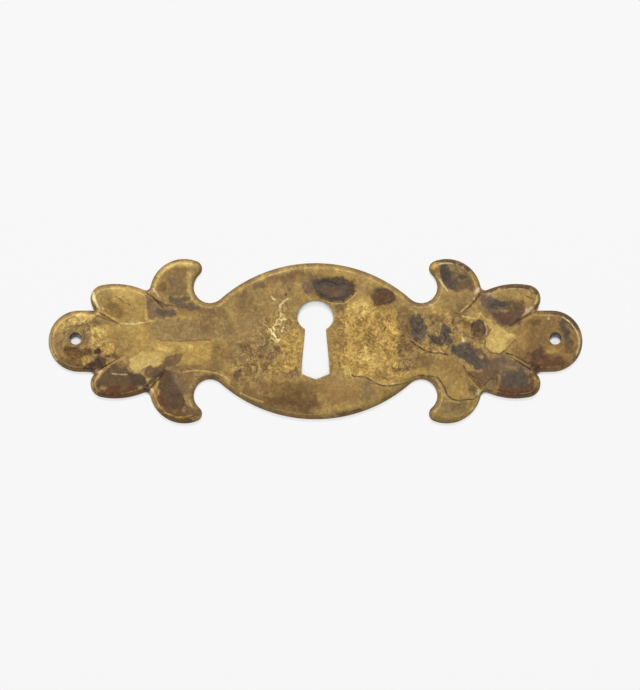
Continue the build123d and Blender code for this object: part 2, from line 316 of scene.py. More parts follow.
OVAL_PATCHES = (
    Patch("upper left field", "olive", 0.4, 1.0, (
        (-15.5, 6.6), (-10, 10), (-3, 11.5), (-2.3, 7.5), (-5, 2), (-9, 0.5), (-15.5, 0.5),
    )),
    Patch("squiggle ground", "gold", 0.35, 0.5, ((-7.6, 4.6), (-4.4, 4.8), (-4.2, 2.8), (-7.4, 2.4))),
    Patch("upper field brown", "umber", 0.35, 0.8, (
        (-12.5, 8), (-10, 8.3), (-9.3, 5), (-11, 4), (-12.8, 5),
    )),
    Patch("mauve shade", "plum", 0.55, 0.3, (
        (-10.4, 9.6), (-8.6, 10), (-8.1, 9.2), (-9, 8.8), (-10.4, 8.9),
    )),
    Patch("left shoulder brown", "plum", 0.3, 0.5, (
        (-13.6, 8.3), (-11.5, 8.6), (-11.8, 7.3), (-14.2, 6.7), (-14.6, 7.2),
    )),
    Patch("top brown left", "umber", 0.6, 0.4, (
        (-8.2, 10.9), (-6.5, 11), (-3.6, 10.9), (-3.8, 9.6), (-8, 9.7),
    )),
    Patch("top brown", "umber", 0.7, 0.4, (
        (-5.2, 11.2), (-3.5, 11.8), (-1.7, 11.9), (-1.9, 11), (-4, 10.6),
    )),
    Patch("top brown right", "umber", 0.45, 0.4, ((-3.5, 11.3), (0.2, 11.2), (0.2, 10.1), (-3, 9.9))),
    Patch("dot mauve", "plum", 0.3, 0.3, ((-6.6, 7.8), (-5.2, 8), (-4.6, 7.3), (-5.6, 7), (-6.7, 7.1))),
    Patch("dot", "soot", 0.75, 0.15, ((-5.3, 7.9), (-4.9, 8), (-4.7, 7.7), (-5, 7.5), (-5.3, 7.6))),
    Patch("second dot", "umber", 0.5, 0.15, ((-4.6, 8.8), (-4, 8.9), (-4, 8.5), (-4.5, 8.5))),
    Patch("gold beside the slot", "gold", 0.65, 0.5, (
        (-5.9, 0.4), (-2.2, 3.2), (-2.1, 0.5), (-2.6, -2), (-3.5, -3.9), (-4.6, -4.9), (-5.6, -3),
    )),
    Patch("gold flake", "gold", 0.6, 0.2, (
        (-7.6, -3.9), (-7, -3.2), (-5.8, -3), (-4.9, -4), (-4.8, -5.6), (-7.7, -5.3), (-7.95, -4.7),
    )),
    Patch("grey olive square", "khaki", 0.6, 0.2, (
        (-9.3, 1), (-7.3, 1), (-7.1, -0.9), (-7.2, -1.7), (-9.2, -1.8), (-9.6, -1.2),
    )),
    Patch("left film", "umber", 0.65, 0.3, (
        (-12.8, -0.5), (-11.1, -0.4), (-11.1, -1.6), (-12.6, -1.8),
    )),
    Patch("brown below the square", "umber", 0.6, 0.2, (
        (-10, -1.9), (-7.3, -2), (-7.1, -3), (-8.4, -3.3), (-10, -2.5),
    )),
    Patch("brown stem", "bronze", 0.5, 0.25, (
        (-9.1, -3.2), (-7.8, -3.3), (-7.9, -5), (-8.8, -5.4), (-9.2, -4.5),
    )),
    Patch("brown right of the square", "bronze", 0.6, 0.2, (
        (-6.8, -0.7), (-5.9, -0.8), (-6, -1.9), (-6.9, -2),
    )),
    Patch("left low gold", "gold", 0.5, 0.4, (
        (-15.2, -3.7), (-13.4, -3.9), (-13.5, -5), (-14.4, -6.4), (-15.4, -5.6),
    )),
    Patch("left dark spot", "umber", 0.95, 0.3, (
        (-13.4, -4.8), (-12.5, -4.5), (-12.2, -5.8), (-12.9, -6.5), (-13.6, -6),
    )),
    Patch("left low film", "umber", 0.4, 0.4, (
        (-15, -5.2), (-11.5, -5.2), (-11.2, -7.4), (-13.4, -7.8),
    )),
    Patch("low slot film", "umber", 0.35, 0.4, ((-6.8, -5), (-3, -5.2), (-2.6, -6.4), (-6.5, -6.6))),
    Patch("dark by the slot", "umber", 0.6, 0.25, (
        (-4.4, -4.9), (-3.2, -4.3), (-2.9, -5.8), (-4.2, -6),
    )),
    Patch("lower olive", "bronze", 0.55, 0.5, (
        (-9.5, -6.5), (-2, -6.7), (1, -7.2), (0, -8.8), (-9.5, -8.8),
    )),
    Patch("lower brown", "bronze", 0.85, 0.9, (
        (-8.8, -9.2), (-5.5, -8.6), (-3, -8.5), (0.2, -9.3), (0.7, -11), (-2, -11.5), (-5, -11.2),
        (-7.6, -10.4),
    )),
    Patch("lower brown heart", "cocoa", 0.3, 0.5, (
        (-4.6, -9.8), (-2, -9.6), (0.2, -10.2), (-0.8, -11.2), (-3.8, -11),
    )),
    Patch("tan under the keyhole", "tan", 0.9, 0.4, (
        (1, -7), (5, -6.6), (7.4, -7.2), (7.5, -9.5), (5, -10.3), (1.5, -10), (0.5, -8.5),
    )),
    Patch("gold right of the keyhole", "gold", 0.85, 0.4, (
        (4.8, 5.6), (7, 7.2), (9, 7.4), (13.9, 5.2), (14, -6.6), (10.5, -7), (4.6, -5.2), (4.4, 0),
    )),
    Patch("flake brown", "umber", 0.45, 0.35, ((7, -5.6), (13.2, -4.9), (13.3, -6.3), (8.6, -6.6))),
    Patch("green tinge", "khaki", 0.6, 0.35, (
        (7.6, -7.5), (8.8, -6.7), (10.2, -9), (9.5, -9.9), (7.8, -9.6),
    )),
    Patch("gold beside the green", "gold", 0.45, 0.2, (
        (9.3, -7), (11.2, -7.7), (11.2, -8.4), (9.8, -8.1),
    )),
    Patch("low gold", "gold", 0.5, 0.3, (
        (1.8, -11.2), (4, -10.7), (7.9, -10.3), (7.5, -11.1), (4, -11.6), (2.2, -11.8),
    )),
    Patch("brown nick", "bronze", 0.75, 0.25, (
        (3.3, -12), (5, -11.6), (7.4, -11.3), (8.1, -11.6), (6, -12.2), (4, -12.5),
    )),
    Patch("low left rim", "bronze", 0.5, 0.4, (
        (-14.5, -6.8), (1, -12.2), (1, -13.6), (-5, -13.4), (-11, -11.4), (-15.5, -7.6),
    )),
    Patch("right low brown", "bronze", 0.35, 0.3, (
        (11.4, -8.4), (12.8, -8.2), (13.2, -8.9), (11, -10),
    )),
    Patch("gold glow", "bright", 0.75, 0.7, (
        (5.6, 5.4), (7.2, 6.9), (9.2, 6.6), (9.7, 5), (8, 4), (6, 4.2),
    )),
    Patch("gold low glow", "bright", 0.45, 0.5, ((5.2, -1.9), (10.2, -1.6), (10.5, -3.6), (5.5, -2.8))),
    Patch("bright by the slot", "bright", 0.8, 0.25, (
        (4.7, -4.2), (5.4, -3.9), (6, -4.8), (5.5, -5.5), (4.7, -5.2),
    )),
    Patch("bright fleck", "bright", 0.5, 0.25, ((7.6, -1.2), (8.6, -1), (8.8, -2.2), (7.7, -2.3))),
    Patch("second bright fleck", "bright", 0.5, 0.25, (
        (9, -2.6), (10.2, -2.9), (9.9, -4.4), (8.8, -4),
    )),
    Patch("third bright fleck", "bright", 0.5, 0.25, (
        (10.8, -3.8), (11.8, -3.8), (11.6, -4.6), (10.7, -4.6),
    )),
    Patch("olive beside the head", "umber", 0.65, 0.3, ((3.2, 6.2), (5, 6.2), (4.8, 5.2), (3.3, 4.5))),
    Patch("blotch by the throat", "tan", 0.8, 0.3, ((3.2, 3.9), (5.1, 3.3), (4.6, 2.4), (3.4, 2.8))),
    Patch("right brown spot", "umber", 0.3, 0.3, (
        (8.3, 1), (9.6, 1.1), (10, 0.2), (9.5, -0.7), (8.6, -0.6), (8.2, 0.2),
    )),
    Patch("brown smudge", "umber", 0.25, 0.25, ((10.9, 4.3), (12.1, 4.1), (12, 3.5), (11, 3.7))),
    Patch("tan beside the slot", "tan", 0.6, 0.5, ((2.6, 1.6), (5.4, 1.2), (5.2, -1.6), (2.8, -1.8))),
    Patch("right neck shade", "umber", 0.6, 0.25, (
        (13.9, 5.8), (15.3, 5.8), (16.6, 4), (16.6, 0.4), (14.6, 0.4), (13.8, 2), (13.4, 3.8),
    )),
    Patch("left neck shade", "umber", 0.3, 0.5, (
        (-23, 5.6), (-18.5, 6.2), (-17, 5.4), (-20, 4.2), (-23, 4.4),
    )),
    Patch("left low film under the strap", "umber", 0.28, 0.6, (
        (-24.5, -3.8), (-15.5, -3.4), (-15.5, -5.4), (-20, -5.8), (-24, -4.8),
    )),
    Patch("neck rim shade", "umber", 0.5, 0.3, ((14.6, 6.9), (16.2, 5.3), (18.8, 5.3), (20.4, 6.9))),
    Patch("right crinkle dark", "umber", 0.6, 0.3, (
        (13.6, -0.2), (16.4, 0.2), (16.6, -1.8), (13.9, -2), (13.5, -1.2),
    )),
    Patch("neck brown strip", "umber", 0.4, 0.3, ((13.5, 1.1), (19, 1.1), (19, -0.2), (13.5, -0.4))),
    Patch("low right smudge", "bronze", 0.8, 0.25, ((12.4, -4.5), (14.6, -4.3), (13.5, -5.4))),
    Patch("burn halo", "umber", 0.5, 0.4, (
        (-1, 11), (2, 11.4), (5.5, 11.1), (7.2, 9.5), (6.9, 7.6), (4.9, 6.2), (1.6, 6.6), (-1, 7.6),
    )),
    Patch("gold over the burn", "gold", 0.5, 0.4, (
        (1, 11.5), (5.5, 11.6), (9.5, 10.4), (9.3, 9.6), (7.2, 9.8), (1, 10.9),
    )),
    Patch("burn tab", "plum", 0.75, 0.2, (
        (-2, 9.9), (-0.4, 10.3), (-0.2, 8), (-1.4, 7.75), (-2.05, 8.3),
    )),
    Patch("burn rim", "soot", 0.82, 0.25, (
        (-0.6, 9.6), (0.2, 10.4), (1.8, 10.7), (4.8, 10.6), (6, 10.2), (6.6, 9.3), (6.6, 8.2),
        (5.7, 7.2), (4.6, 6.55), (2.4, 6.5), (0.9, 7.2), (-0.2, 8),
    )),
    Patch("burn", "slate", 0.9, 0.3, (
        (-0.1, 9.4), (0.7, 10), (4.8, 10.2), (5.6, 9.8), (6.1, 9), (5.9, 8.2), (4.4, 7.1), (2.4, 7),
        (0.9, 7.7), (0.1, 8.4),
    )),
    Patch("burn heart", "umber", 0.7, 0.5, (
        (0.5, 8.9), (2.6, 8.9), (4.5, 8.5), (4.2, 7.6), (2.2, 7.4), (0.9, 8),
    )),
    Patch("burn right rim", "chestnut", 0.55, 0.4, (
        (4.9, 10.4), (6.3, 10), (6.6, 8.8), (6, 7.9), (5.3, 9),
    )),
    Patch("red spot halo", "umber", 0.15, 0.4, (
        (8.9, 8.2), (10.4, 9.4), (13, 9), (13.9, 7), (12, 5.2), (10, 5), (9, 6),
    )),
    Patch("red spot rim", "cocoa", 0.65, 0.2, (
        (9.4, 7.2), (9.8, 8.7), (11.1, 9.1), (12.5, 8.8), (13.5, 7.6), (13.5, 6.8), (12.5, 6.2),
        (11, 5.8), (9.7, 6),
    )),
    Patch("red spot", "chestnut", 0.6, 0.25, (
        (9.9, 7.2), (10.4, 8.2), (11.3, 8.4), (12.3, 8.1), (12.9, 7.2), (12.2, 6.7), (11, 6.3),
        (10.2, 6.4),
    )),
    Patch("red spot heart", "chestnut", 0.4, 0.3, (
        (9.9, 7.2), (10.8, 7.7), (11.5, 7), (11, 6.2), (10.1, 6.3),
    )),
)

RIGHT_PATCHES = (
    Patch("upper hook tip", "gold", 0.85, 0.25, (
        (18.9, 12.9), (20, 13.4), (20.5, 12.6), (20.1, 11.9), (19.4, 11.9), (18.8, 12.2),
    )),
    Patch("tip nick", "amber", 0.7, 0.2, ((19.2, 12), (20.4, 12), (20.4, 11.4), (19.2, 11.2))),
    Patch("upper hook film", "khaki", 0.9, 0.3, (
        (20.5, 12.9), (22.5, 12.9), (24.8, 12.3), (26, 11), (26.4, 9.6), (26.2, 8.4), (23.4, 8.2),
        (21.6, 9), (20.8, 10.6),
    )),
    Patch("upper hook slate", "slate", 0.9, 0.2, (
        (20.5, 12.1), (20.9, 12.8), (21.7, 12.8), (23.6, 10.4), (23.9, 9.2), (23.2, 8.6), (21.8, 8.9),
        (21, 10.2),
    )),
    Patch("upper hook soot", "soot", 0.45, 0.3, (
        (20.7, 12.3), (21.5, 12.5), (23.2, 10.2), (22.4, 9.3), (21.4, 10),
    )),
    Patch("upper hook second slate", "slate", 0.9, 0.2, (
        (23.6, 11.1), (24.6, 11.1), (25, 10.4), (24.2, 10.1), (23.6, 10.5),
    )),
    Patch("upper hook brown", "umber", 0.7, 0.3, (
        (23.3, 9.6), (25.2, 10.3), (26.3, 9.9), (26.1, 8.4), (23.3, 8.4),
    )),
    Patch("hook right rim", "gold", 0.5, 0.25, (
        (25.2, 12), (27, 10.6), (27.3, 9.2), (26.3, 9.4), (25.6, 11),
    )),
    Patch("hook green heart", "khaki", 0.45, 0.2, (
        (22.3, 11.3), (23.3, 11.3), (23.4, 10.5), (22.6, 10.1),
    )),
    Patch("hook glint", "gold", 0.5, 0.2, ((23.7, 12.1), (24.5, 11.8), (24.8, 11.3), (24, 11.3))),
    Patch("body brown", "umber", 0.55, 0.4, ((23.5, 7.6), (25, 7.7), (25.3, 6.2), (23.6, 5.4))),
    Patch("hook base brown", "umber", 0.4, 0.5, (
        (22.4, 5.2), (24.6, 6), (25.6, 4.8), (25, 3), (23, 3),
    )),
    Patch("leaf base brown", "umber", 0.45, 0.3, (
        (26.6, 6.4), (28, 6), (29.4, 4.6), (28.6, 3.6), (27, 4.2),
    )),
    Patch("neck gold", "gold", 0.85, 0.3, ((19.2, 6), (20.8, 6), (20.9, 4.6), (20.2, 4.3), (19.2, 5))),
    Patch("strap olive", "khaki", 0.6, 0.5, (
        (18.6, 4.4), (21.4, 4.2), (21.4, 2.8), (20.6, 1.2), (18.8, 1.2),
    )),
    Patch("strap low film", "umber", 0.32, 0.6, (
        (17, -2), (21.5, -1.8), (21.5, -3.6), (19, -5.2), (16.8, -4.4),
    )),
    Patch("neck slate", "slate", 0.9, 0.3, (
        (15.8, 4.2), (17.3, 4.6), (18.2, 3.5), (18.6, 1.5), (18.2, 0.2), (16.5, 0), (15.7, 1.5),
        (15.6, 3),
    )),
    Patch("slate patch", "slate", 0.95, 0.2, (
        (20.9, 2.6), (21.8, 2.75), (22.5, 2.3), (22.7, 0), (20.9, 0.2),
    )),
    Patch("lower slate patch", "slate", 0.85, 0.25, (
        (18.7, 1), (19.5, 1.2), (22.8, 0.5), (22.9, -0.7), (19, -0.4),
    )),
    Patch("flake gold", "tan", 0.85, 0.2, (
        (17, -0.4), (20, -0.8), (22.1, -1.6), (21.8, -2.1), (19.5, -1.8), (18, -1.4),
    )),
    Patch("low neck", "umber", 0.45, 0.5, ((14.5, -2.5), (18, -2.2), (20, -3), (19, -4.5), (15, -4.5))),
    Patch("hollow gold", "gold", 0.6, 0.3, (
        (14.4, -5.2), (17, -4.6), (20.2, -5.1), (20, -5.6), (14.4, -6.7),
    )),
    Patch("strap tan", "tan", 0.8, 0.4, (
        (20, -2.7), (23.9, -3), (24.8, -4.5), (25.4, -5.6), (24, -6.5), (21.5, -5.4), (20, -4.3),
    )),
    Patch("strap slate", "slate", 0.95, 0.3, (
        (22.9, -0.4), (25.4, -0.2), (26.5, -1.3), (27.2, -2.6), (27, -3.5), (25, -3.5), (22.6, -2),
        (22.4, -1.2),
    )),
    Patch("strap slate foot", "slate", 0.95, 0.35, (
        (25.4, -3.3), (28.2, -2.6), (29, -3.5), (28.6, -4.6), (27.2, -4.85), (26.2, -4.6),
    )),
    Patch("strap mauve", "plum", 0.9, 0.2, ((26.4, -1.2), (27.6, -1.3), (28, -2.4), (27, -2.3))),
    Patch("lower leaf plum", "plum", 0.8, 0.45, (
        (28.2, -2.7), (31.5, -2.5), (34.2, -3.4), (36.3, -5), (34, -5.4), (29, -5.2), (27.5, -5),
    )),
    Patch("lower leaf left", "umber", 0.9, 0.45, (
        (25, -4.8), (30.4, -5), (30.2, -7.8), (29.2, -8.4), (27.8, -7.7),
    )),
    Patch("lower leaf foot", "chestnut", 0.92, 0.45, (
        (30.5, -7.3), (36.4, -7.2), (37.4, -8.2), (34, -9.8), (30, -9.4),
    )),
    Patch("lower leaf slate", "slate", 0.95, 0.5, (
        (30.3, -5.5), (32, -4.9), (34.8, -5), (35.6, -6), (35.2, -7.3), (33.8, -7.6), (31.2, -7.4),
        (30.5, -6.6),
    )),
    Patch("lower leaf pale", "tan", 0.6, 0.25, ((31.5, -4.2), (33.8, -4.4), (33.6, -5), (32, -4.9))),
    Patch("lower leaf red tip", "chestnut", 0.85, 0.45, (
        (35.6, -5.8), (36.6, -6.2), (36.8, -7.3), (35.6, -7.1),
    )),
    Patch("lower leaf gold", "ground", 0.3, 0.15, (
        (28.1, -7.4), (28.8, -6.4), (29.8, -6.4), (30.05, -7.2), (29.9, -8.1), (28.6, -8),
    )),
    Patch("lower hook gold", "gold", 0.6, 0.3, (
        (22.3, -7.8), (24.5, -7), (25.3, -8.6), (24, -9.6), (22.7, -9.4), (22, -8.4),
    )),
    Patch("lower hook green", "khaki", 0.7, 0.3, ((25, -5.4), (26.7, -7.4), (26.2, -8), (25.1, -7.2))),
    Patch("lower hook grey", "umber", 0.8, 0.2, (
        (25.3, -7.3), (26.9, -7.9), (26.6, -8.7), (25.6, -8.4),
    )),
    Patch("lower hook low", "khaki", 0.5, 0.3, (
        (20.4, -10.9), (21.6, -9.9), (26.4, -9.9), (25.5, -11.6), (23, -12.4), (20.8, -12.1),
    )),
    Patch("lower hook low shade", "umber", 0.6, 0.4, (
        (22.6, -10.2), (24.2, -10.2), (24, -11.4), (22.8, -11.4),
    )),
    # Painted highlight: the lit facet at the notch
    Patch("notch bright", "straw", 0.9, 0.2, ((27, -8.2), (27.7, -8.2), (27.5, -9), (26.9, -9.2))),
    Patch("spot halo", "umber", 0.5, 0.4, (
        (25.6, 0.3), (27.6, -0.2), (29.3, 0.8), (29.4, 2.6), (28.6, 3.2),
    )),
    Patch("ringed spot", "umber", 0.95, 0.2, (
        (25.9, 2.9), (26.7, 3.5), (27.8, 3.4), (28.3, 2.2), (28.2, 1), (27.3, 0.4), (26.3, 0.7),
        (25.7, 1.8),
    )),
    Patch("ringed spot dark", "slate", 0.6, 0.2, (
        (26.1, 3), (26.7, 3.5), (27.8, 3.3), (27.6, 2.7), (26.6, 2.7),
    )),
    Patch("gold arm", "bright", 0.6, 0.15, (
        (26.9, 4.6), (27.5, 4.7), (28.4, 4), (29.9, 2.6), (29.2, 2.1), (27.2, 3.9),
    )),
    Patch("gold blob", "bright", 0.97, 0.15, (
        (29, 1.7), (30, 2.9), (33.2, 1), (33.3, 0.5), (31.6, -1.2), (30.7, -1.9), (29, -1.7),
        (28.2, -1), (28.5, 0.2),
    )),
    Patch("orange by the spot", "amber", 0.45, 0.3, ((24.5, 3.2), (25.4, 3), (25.2, 1.6), (24.5, 1.6))),
    Patch("upper leaf gold streak", "gold", 0.7, 0.25, (
        (29.8, 8), (30.8, 8.6), (31.7, 8.5), (31.3, 7.9),
    )),
    Patch("upper leaf rim", "umber", 0.55, 0.25, ((30.6, 9.3), (34.4, 9.3), (34.2, 8.6), (30.8, 8.5))),
    Patch("upper leaf plum", "plum", 0.9, 0.4, (
        (27.3, 7.7), (28.5, 8), (29.6, 7.4), (30.4, 6), (30, 4.6), (28.5, 4.9), (27.4, 6),
    )),
    Patch("upper leaf cocoa", "cocoa", 0.7, 0.3, (
        (31.6, 6.8), (33.6, 6.9), (35, 6.6), (34.8, 5.6), (34.6, 5), (31.2, 5),
    )),
    Patch("upper leaf slate", "slate", 0.97, 0.25, (
        (28.8, 6.9), (29.8, 7.1), (31.5, 6.7), (32.3, 6), (31.5, 5.3), (29.5, 5.3), (28.6, 6),
    )),
    Patch("upper leaf soot", "soot", 0.4, 0.25, (
        (29.3, 6.4), (30.4, 6.6), (31.2, 6), (30.2, 5.6), (29.4, 5.8),
    )),
    Patch("upper leaf red film", "plum", 0.9, 0.4, (
        (28.8, 5), (31, 5.1), (34.6, 5.2), (34.3, 4), (33.9, 2.6), (32, 2.4), (30.3, 3.1), (29.2, 4.1),
    )),
    Patch("upper leaf red heart", "chestnut", 0.55, 0.3, (
        (29.2, 4.8), (31, 4.9), (34.4, 5), (34.1, 4), (33.6, 2.8), (32, 2.6), (30.4, 3.3), (29.5, 4.1),
    )),
    Patch("lobe film", "amber", 0.4, 0.4, (
        (33.6, 2.6), (36.6, 4.6), (39.2, 4.8), (41, 4), (43.4, 1), (43.2, -1.8), (41.5, -3.6),
        (37.5, -4.2), (33, -2),
    )),
    Patch("lobe brown", "umber", 0.3, 0.5, (
        (35, 2.9), (36.8, 4.6), (39.4, 5.2), (42, 4.6), (44, 1), (44, -1.8), (42, -4.6), (38, -5),
        (35.6, -3),
    )),
    Patch("lobe amber", "tan", 0.8, 0.4, (
        (32.2, 0.4), (35, 0.6), (35.6, -0.8), (34, -2), (32.5, -1.5), (31.7, -0.9),
    )),
    Patch("strap end shade", "umber", 0.4, 0.4, ((32.2, -0.9), (35.5, -1), (36, -3.2), (33, -2.8))),
    Patch("lobe grey", "umber", 0.7, 0.45, ((35.9, 3.5), (37.5, 3.7), (37.4, 2.8), (36.2, 2.8))),
    Patch("lobe slate", "slate", 0.97, 0.35, (
        (40.4, 3.3), (41.3, 3.1), (42.2, 1.6), (42.3, 0), (41.4, -0.3), (40.9, 1.2),
    )),
    Patch("lobe red top", "cocoa", 0.7, 0.25, (
        (40.2, 4.7), (41.8, 4.9), (44.2, 2.4), (43.4, 1.2), (41.4, 3.2),
    )),
    Patch("lobe right brown", "umber", 0.9, 0.3, (
        (41.3, 0.2), (42.7, 0.2), (42.7, -1.7), (41.6, -1.9),
    )),
    Patch("lobe cocoa", "cocoa", 0.8, 0.4, (
        (35.2, -1.8), (37.3, -0.8), (38.2, -1.6), (38, -3.2), (36, -3.2),
    )),
    Patch("lobe low dark", "chestnut", 0.6, 0.5, ((34.5, -2.2), (38, -2.6), (38.5, -5.2), (36, -5.2))),
    Patch("lobe gold spots", "gold", 0.5, 0.35, (
        (38.4, -1.2), (39.4, -0.8), (40.4, -1.3), (40.4, -2), (39.2, -2.2), (38.4, -1.8),
    )),
    Patch("lobe red", "chestnut", 0.85, 0.6, (
        (37.8, -2.4), (41.2, -2.3), (41.7, -3.6), (40.5, -4.4), (38.3, -4.4), (37.6, -3.4),
    )),
    Patch("lobe right gold", "tan", 0.9, 0.3, (
        (41.3, -2.1), (42.9, -2.1), (43, -2.7), (41.8, -3.4), (41.2, -2.9),
    )),
    Patch("lower lobe notch", "cocoa", 0.97, 0.2, (
        (34.7, -3.2), (36, -3.4), (37.3, -3.9), (37.4, -4.6), (36.2, -4.5), (35.2, -3.9),
    )),
    # Painted highlight and shade on the walls of the creases: pink where a wall catches the light, dark
    # where it faces away
    Patch("lobe facet pink", "pink_glint_and_ring", 0.8, 0.15, (
        (34.6, 4.6), (35.7, 6), (36.3, 5.7), (35.5, 5), (34.3, 4.2),
    )),
    Patch("hook facet dark", "umber", 0.8, 0.15, (
        (27.4, 8.7), (28.4, 8.3), (27.1, 7), (26.9, 7.4), (27.2, 8.2),
    )),
    Patch("hook facet pink", "pink_glint_and_ring", 0.95, 0.15, (
        (27, 9), (27.35, 8.8), (26.9, 7.8), (26.4, 6.8), (26.15, 7), (26.6, 8.4),
    )),
    Patch("pale speck", "straw", 0.6, 0.15, ((24.5, 0.5), (24.9, 0.4), (24.8, -0.2), (24.4, -0.1))),
)

